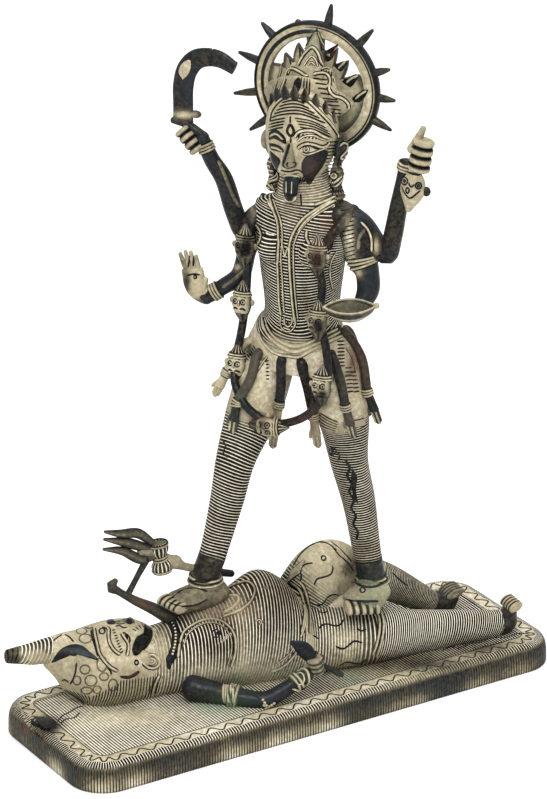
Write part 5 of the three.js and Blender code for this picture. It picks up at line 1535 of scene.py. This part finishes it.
# The garland's cord, and where its heads hang from it; the lowest head lies along it
GARLAND = [
    [30, 4, 280], [28, -10, 276], [23, -18, 267], [18.6, -20, 257], [20.6, -19.5, 240], [19.6, -20.5, 222],
    [24, -21, 203], [25.5, -22.5, 188], [22, -24, 174], [11, -25.5, 162], [-6, -26.5, 156],
    [-15, -27.5, 159], [-24, -27.5, 166], [-31.5, -23, 175], [-34, -17, 186], [-31.5, -14, 204],
    [-29, -14, 222], [-28, -13.5, 240], [-28, -12, 256], [-27, -6, 270], [-24, 4, 280]]
HANGING_HEADS = [(18.7, -21.5, 258.5), (19.5, -22, 220.5), (23, -24, 183), (-33, -16.5, 184),
                 (-29.5, -16.5, 222), (-28.5, -15, 255)]
LOWEST_HEAD = (-9, -27, 154.5)
DOWNWARDS = (0, 0, -1)
ALONG_CORD = (-1, 0, -0.06)
# A head's features on the skin: lengths past its eyes, then turns from its front in radians
EYE_TURN = 0.42
BROW = ([-2.4, -2.9, -2.1], [0.1, 0.4, 0.75])
MOUSTACHE = ([3.9, 3.3, 4.6], [0.05, 0.4, 0.85])
NOSE = ([-1.5, 0.5, 2.6], [0, 0, 0])
LIP = ([5.6, 5.8, 5.6], [-0.3, 0, 0.3])


def garland_head(place, down):
    """One small crowned and bearded head: skull, crown ribs, ring eyes, ears, nose, moustache and beard."""
    down, front = unit(np.array(down, float)), np.array([0, -1.0, 0])
    side = np.cross(down, front)
    on = lambda d, f: np.array(place) + down * d + front * f
    skull = Limb(her, [[*on(-12.5, -0.4), 0.8], [*on(-6.5, 0.3), 4.4, 3.2], [*on(-0.5, 1.2), 5.9, 4.6],
                       [*on(5.5, 1.2), 4.5, 3.6], [*on(11.5, 0.4), 1.2]], tuple(side))
    crown_end, eye, chin = skull.stops[1], skull.stops[2] - 0.9, skull.stops[3]
    face = 0.0 if np.dot(skull.deep[0], her.way(*front)) > 0 else np.pi
    # the head darkens away from its face round its sides and back, a painted shade
    painted_side_shade = lambda s, t: 0.08 + 0.8 * np.clip(1.3 * (1 - np.cos(t - face)) - 0.45, 0, 1)
    beard = lambda s, t: 0.75 + 0.25 * np.cos(7 * t)
    shells = [fluted(skull, 11, (-0.6, crown_end + 1.6), 14, tone=0.3),
              smooth(skull, 24, 32, painted_side_shade, span=(crown_end + 1.4, chin - 0.5)),
              smooth(skull, 12, 28, beard, span=(chin - 0.7, skull.length + 0.6))]
    line = lambda s, t, width, tone: on_limb(skull, eye + np.array(s), face + np.array(t), width=width,
                                             height=0.5, tone=tone, flank=0.0 if tone > 0.5 else 1.0)
    spot = lambda s, t, lift: skull.skin(np.array(eye + s), np.array(face + t), np.array(lift))
    loop = np.linspace(0, TURN, 9)
    for way in (-1, 1):
        shells.append(line(1.25 * np.sin(loop), way * EYE_TURN + 0.27 * np.cos(loop), 0.55, 1.0))
        shells.append(ball(her, spot(0, way * EYE_TURN, 0.1), (0.6,) * 3, columns=8, rows=6, tone=1.0))
        shells.append(line(BROW[0], way * np.array(BROW[1]), 0.6, 1.0))
        shells.append(line(MOUSTACHE[0], way * np.array(MOUSTACHE[1]), 0.9, 1.0))
        shells.append(ball(her, spot(0.5, way * 1.6, 0.5), (1.3, 1.1, 1.9), columns=12, rows=9, tone=0.2))
    shells.append(line(*NOSE, 1.3, 0.1))
    shells.append(line(*LIP, 0.9, 0.1))
    return shells + bangles(skull, crown_end + 1, 2, 1.5, 1.3, 0.9, 0.05)


def garland():
    """Round cord over both shoulders and down in front of the thighs, with heads along it."""
    cord = [her.at(*place) for place in GARLAND]
    shells = [tube(cord, np.array([3.4, 3.2] + [2.4] * 16 + [3.0, 3.2]), 0.97, sides=16, step=1.0)]
    for place in HANGING_HEADS:
        shells += garland_head(place, DOWNWARDS)
    return shells + garland_head(LOWEST_HEAD, ALONG_CORD)


# The girdle's arms: root on the hip, elbow, wrist and fingertips, then the tones of sleeve and hand
GIRDLE = [
    ([-28.9, -10, 196], [-36, -13, 187], [-40.9, -14.5, 176.3], [-46.5, -19.8, 162.6], 0.1, 0.1),
    ([-19.8, -15.9, 193], [-21.7, -23.9, 178.8], [-28.3, -27.9, 165.2], [-28.9, -32.7, 147.9], 0.62, 0.9),
    ([-4.2, -18.9, 192.7], [-5.4, -17.7, 176.2], [-6.9, -17.1, 164.2], [-12.6, -14.4, 134.5], 0.95, 0.25),
    ([7.5, -18.9, 192.8], [10, -15, 175], [11.6, -11.4, 158], [13.3, -8, 137], 0.95, 0.3),
    ([23.1, -12.9, 198.2], [29.3, -14.2, 184], [31.9, -12.2, 167.4], [33.7, -4.2, 145.7], 0.9, 0.7),
    ([24.2, -1.7, 209.3], [35, 1.2, 194], [39.4, 1.2, 172.7], [45.8, 4, 152.9], 0.85, 0.95),
    ([20.5, 13.2, 203.6], [24.6, 19, 188], [26.3, 22.1, 174.2], [27.4, 24.3, 155.1], 0.8, 0.4),
    ([0.1, 19.2, 200.4], [2.4, 20.5, 186], [5.4, 17, 171.9], [7.4, 17.3, 151.7], 0.8, 0.4),
    ([-23.7, 11.1, 204.9], [-28.5, 14.5, 188], [-29.1, 13.3, 172.5], [-29.3, 7.7, 154.8], 0.8, 0.4)]
# Where an arm starts inside the hip, as shares of its root's place
INSIDE_HIP = [0.8, 0.5, 0.99]
# How much shorter each finger is than the longest
FINGER_SHORT = (1.2, 0.2, 0, 1.4)


def finger_of(root, tip, radius, tone, bow=0.0, **look):
    """A finger from root to tip, its middle moved aside by a bow."""
    return tube([her.at(*root), her.at(*((root + tip) / 2 + bow)), her.at(*tip)], radius, tone, **look)


def girdle():
    """Severed arms hanging from the hips: sleeve, bangles, palm with four fingers and a thumb."""
    shells = []
    for *places, sleeve, hand in GIRDLE:
        root, elbow, wrist, tip = (np.array(place, float) for place in places)
        palm = tip - wrist
        arm = Limb(her, [[*(root * INSIDE_HIP), 2.6, 2], [*root, 2.8, 2.2], [*elbow, 2.9, 2.3],
                         [*wrist, 2.7, 2.3], [*(wrist + palm * 0.2), 2.6, 2.1],
                         [*(wrist + palm * 0.55), 3.1, 1.9]], dome=0.6)
        cuff = arm.stops[3]
        shells.append(smooth(arm, 50, 24, lambda s, t: np.where(s < cuff, sleeve, hand)))
        shells += bangles(arm, cuff, 3, 1.5, 1.5, 0.9)
        way = unit(palm)
        side = unit(np.cross(way, np.array([0, 1.0, 0])))
        for finger, short in enumerate(FINGER_SHORT):
            start = wrist + palm * 0.5 + side * (finger - 1.5) * 1.35
            end = tip + side * (finger - 1.5) * 1.1 - way * short
            shells.append(finger_of(start, end, 0.85, 0.15 + 0.7 * hand * (finger % 2), sides=8))
        knuckle = wrist + palm * 0.3 - side * 1.2
        thumb = wrist + palm * 0.72 - side * 4
        shells.append(finger_of(knuckle, thumb, 1.0, 0.5 * hand + 0.1, side * -0.4))
    return shells


# Studio, in metres and watts
FLOOR_REACH = 6.0
FLOOR_GREY = 0.9
SKY_STRENGTH = 0.85
LAMPS = {"key": ((-0.9, -1.1, 1.9), 1.2, 38), "top": ((0.7, 0.2, 2.1), 1.6, 22)}
LAMP_AIM = (0, 0, 0.18)


def studio():
    """Pale floor, even white light from all round, and two broad soft lamps above."""
    floor = bpy.data.meshes.new("floor")
    corners = [(x * FLOOR_REACH, y * FLOOR_REACH, 0) for x, y in ((-1, -1), (1, -1), (1, 1), (-1, 1))]
    floor.from_pydata(corners, [], [(0, 1, 2, 3)])
    white = bpy.data.materials.new("floor_white")
    white.use_nodes = True
    surface = white.node_tree.nodes["Principled BSDF"]
    surface.inputs["Base Color"].default_value = (FLOOR_GREY, FLOOR_GREY, FLOOR_GREY, 1)
    surface.inputs["Roughness"].default_value = 0.9
    floor.materials.append(white)
    plane = bpy.data.objects.new("floor", floor)
    bpy.context.collection.objects.link(plane)
    world = bpy.data.worlds.new("studio")
    world.use_nodes = True
    sky = world.node_tree.nodes["Background"]
    sky.inputs["Color"].default_value = (1, 1, 1, 1)
    sky.inputs["Strength"].default_value = SKY_STRENGTH
    bpy.context.scene.world = world
    for name, (place, size, power) in LAMPS.items():
        lamp = bpy.data.lights.new(name, "AREA")
        lamp.size, lamp.energy = size, power
        light = bpy.data.objects.new(name, lamp)
        light.location = place
        aim = Vector(LAMP_AIM) - Vector(place)
        light.rotation_euler = aim.to_track_quat("-Z", "Y").to_euler()
        bpy.context.collection.objects.link(light)


def photograph_camera():
    """The photograph's camera: its aim's pixel is brought into place by the lens shift."""
    width, height = FRAME_SIZE
    camera = bpy.data.cameras.new("camera")
    camera.sensor_fit = "AUTO"
    camera.sensor_width = SENSOR
    camera.lens = FOCAL_PIXELS * SENSOR / height
    camera.shift_x = (width / 2 - AIM_PIXEL[0]) / height
    camera.shift_y = (AIM_PIXEL[1] - height / 2) / height
    camera.clip_end = 50
    eye = bpy.data.objects.new("camera", camera)
    eye.location = EYE * METRE
    eye.rotation_euler = Vector(-OUT).to_track_quat("-Z", "Y").to_euler()
    bpy.context.collection.objects.link(eye)
    bpy.context.scene.camera = eye
    bpy.context.scene.view_settings.view_transform = "Standard"


PIECES = {
    "plinth": plinth, "his_head": his_head, "his_trunk": his_trunk, "his_cloth": his_cloth,
    "his_legs": his_legs, "his_arms": his_arms, "cobra_and_trident": cobra_and_trident, "her_legs": legs,
    "her_feet": feet, "her_trunk": trunk, "her_head": head, "halo": halo, "crown": crown, "her_arms": arms,
    "sickle": sickle, "bowl": bowl, "garland": garland, "girdle": girdle}

studio()
photograph_camera()
brass = patinated_brass()
made = {name: build() for name, build in PIECES.items()}
for name, shells in made.items():
    cast(name, shells, brass)
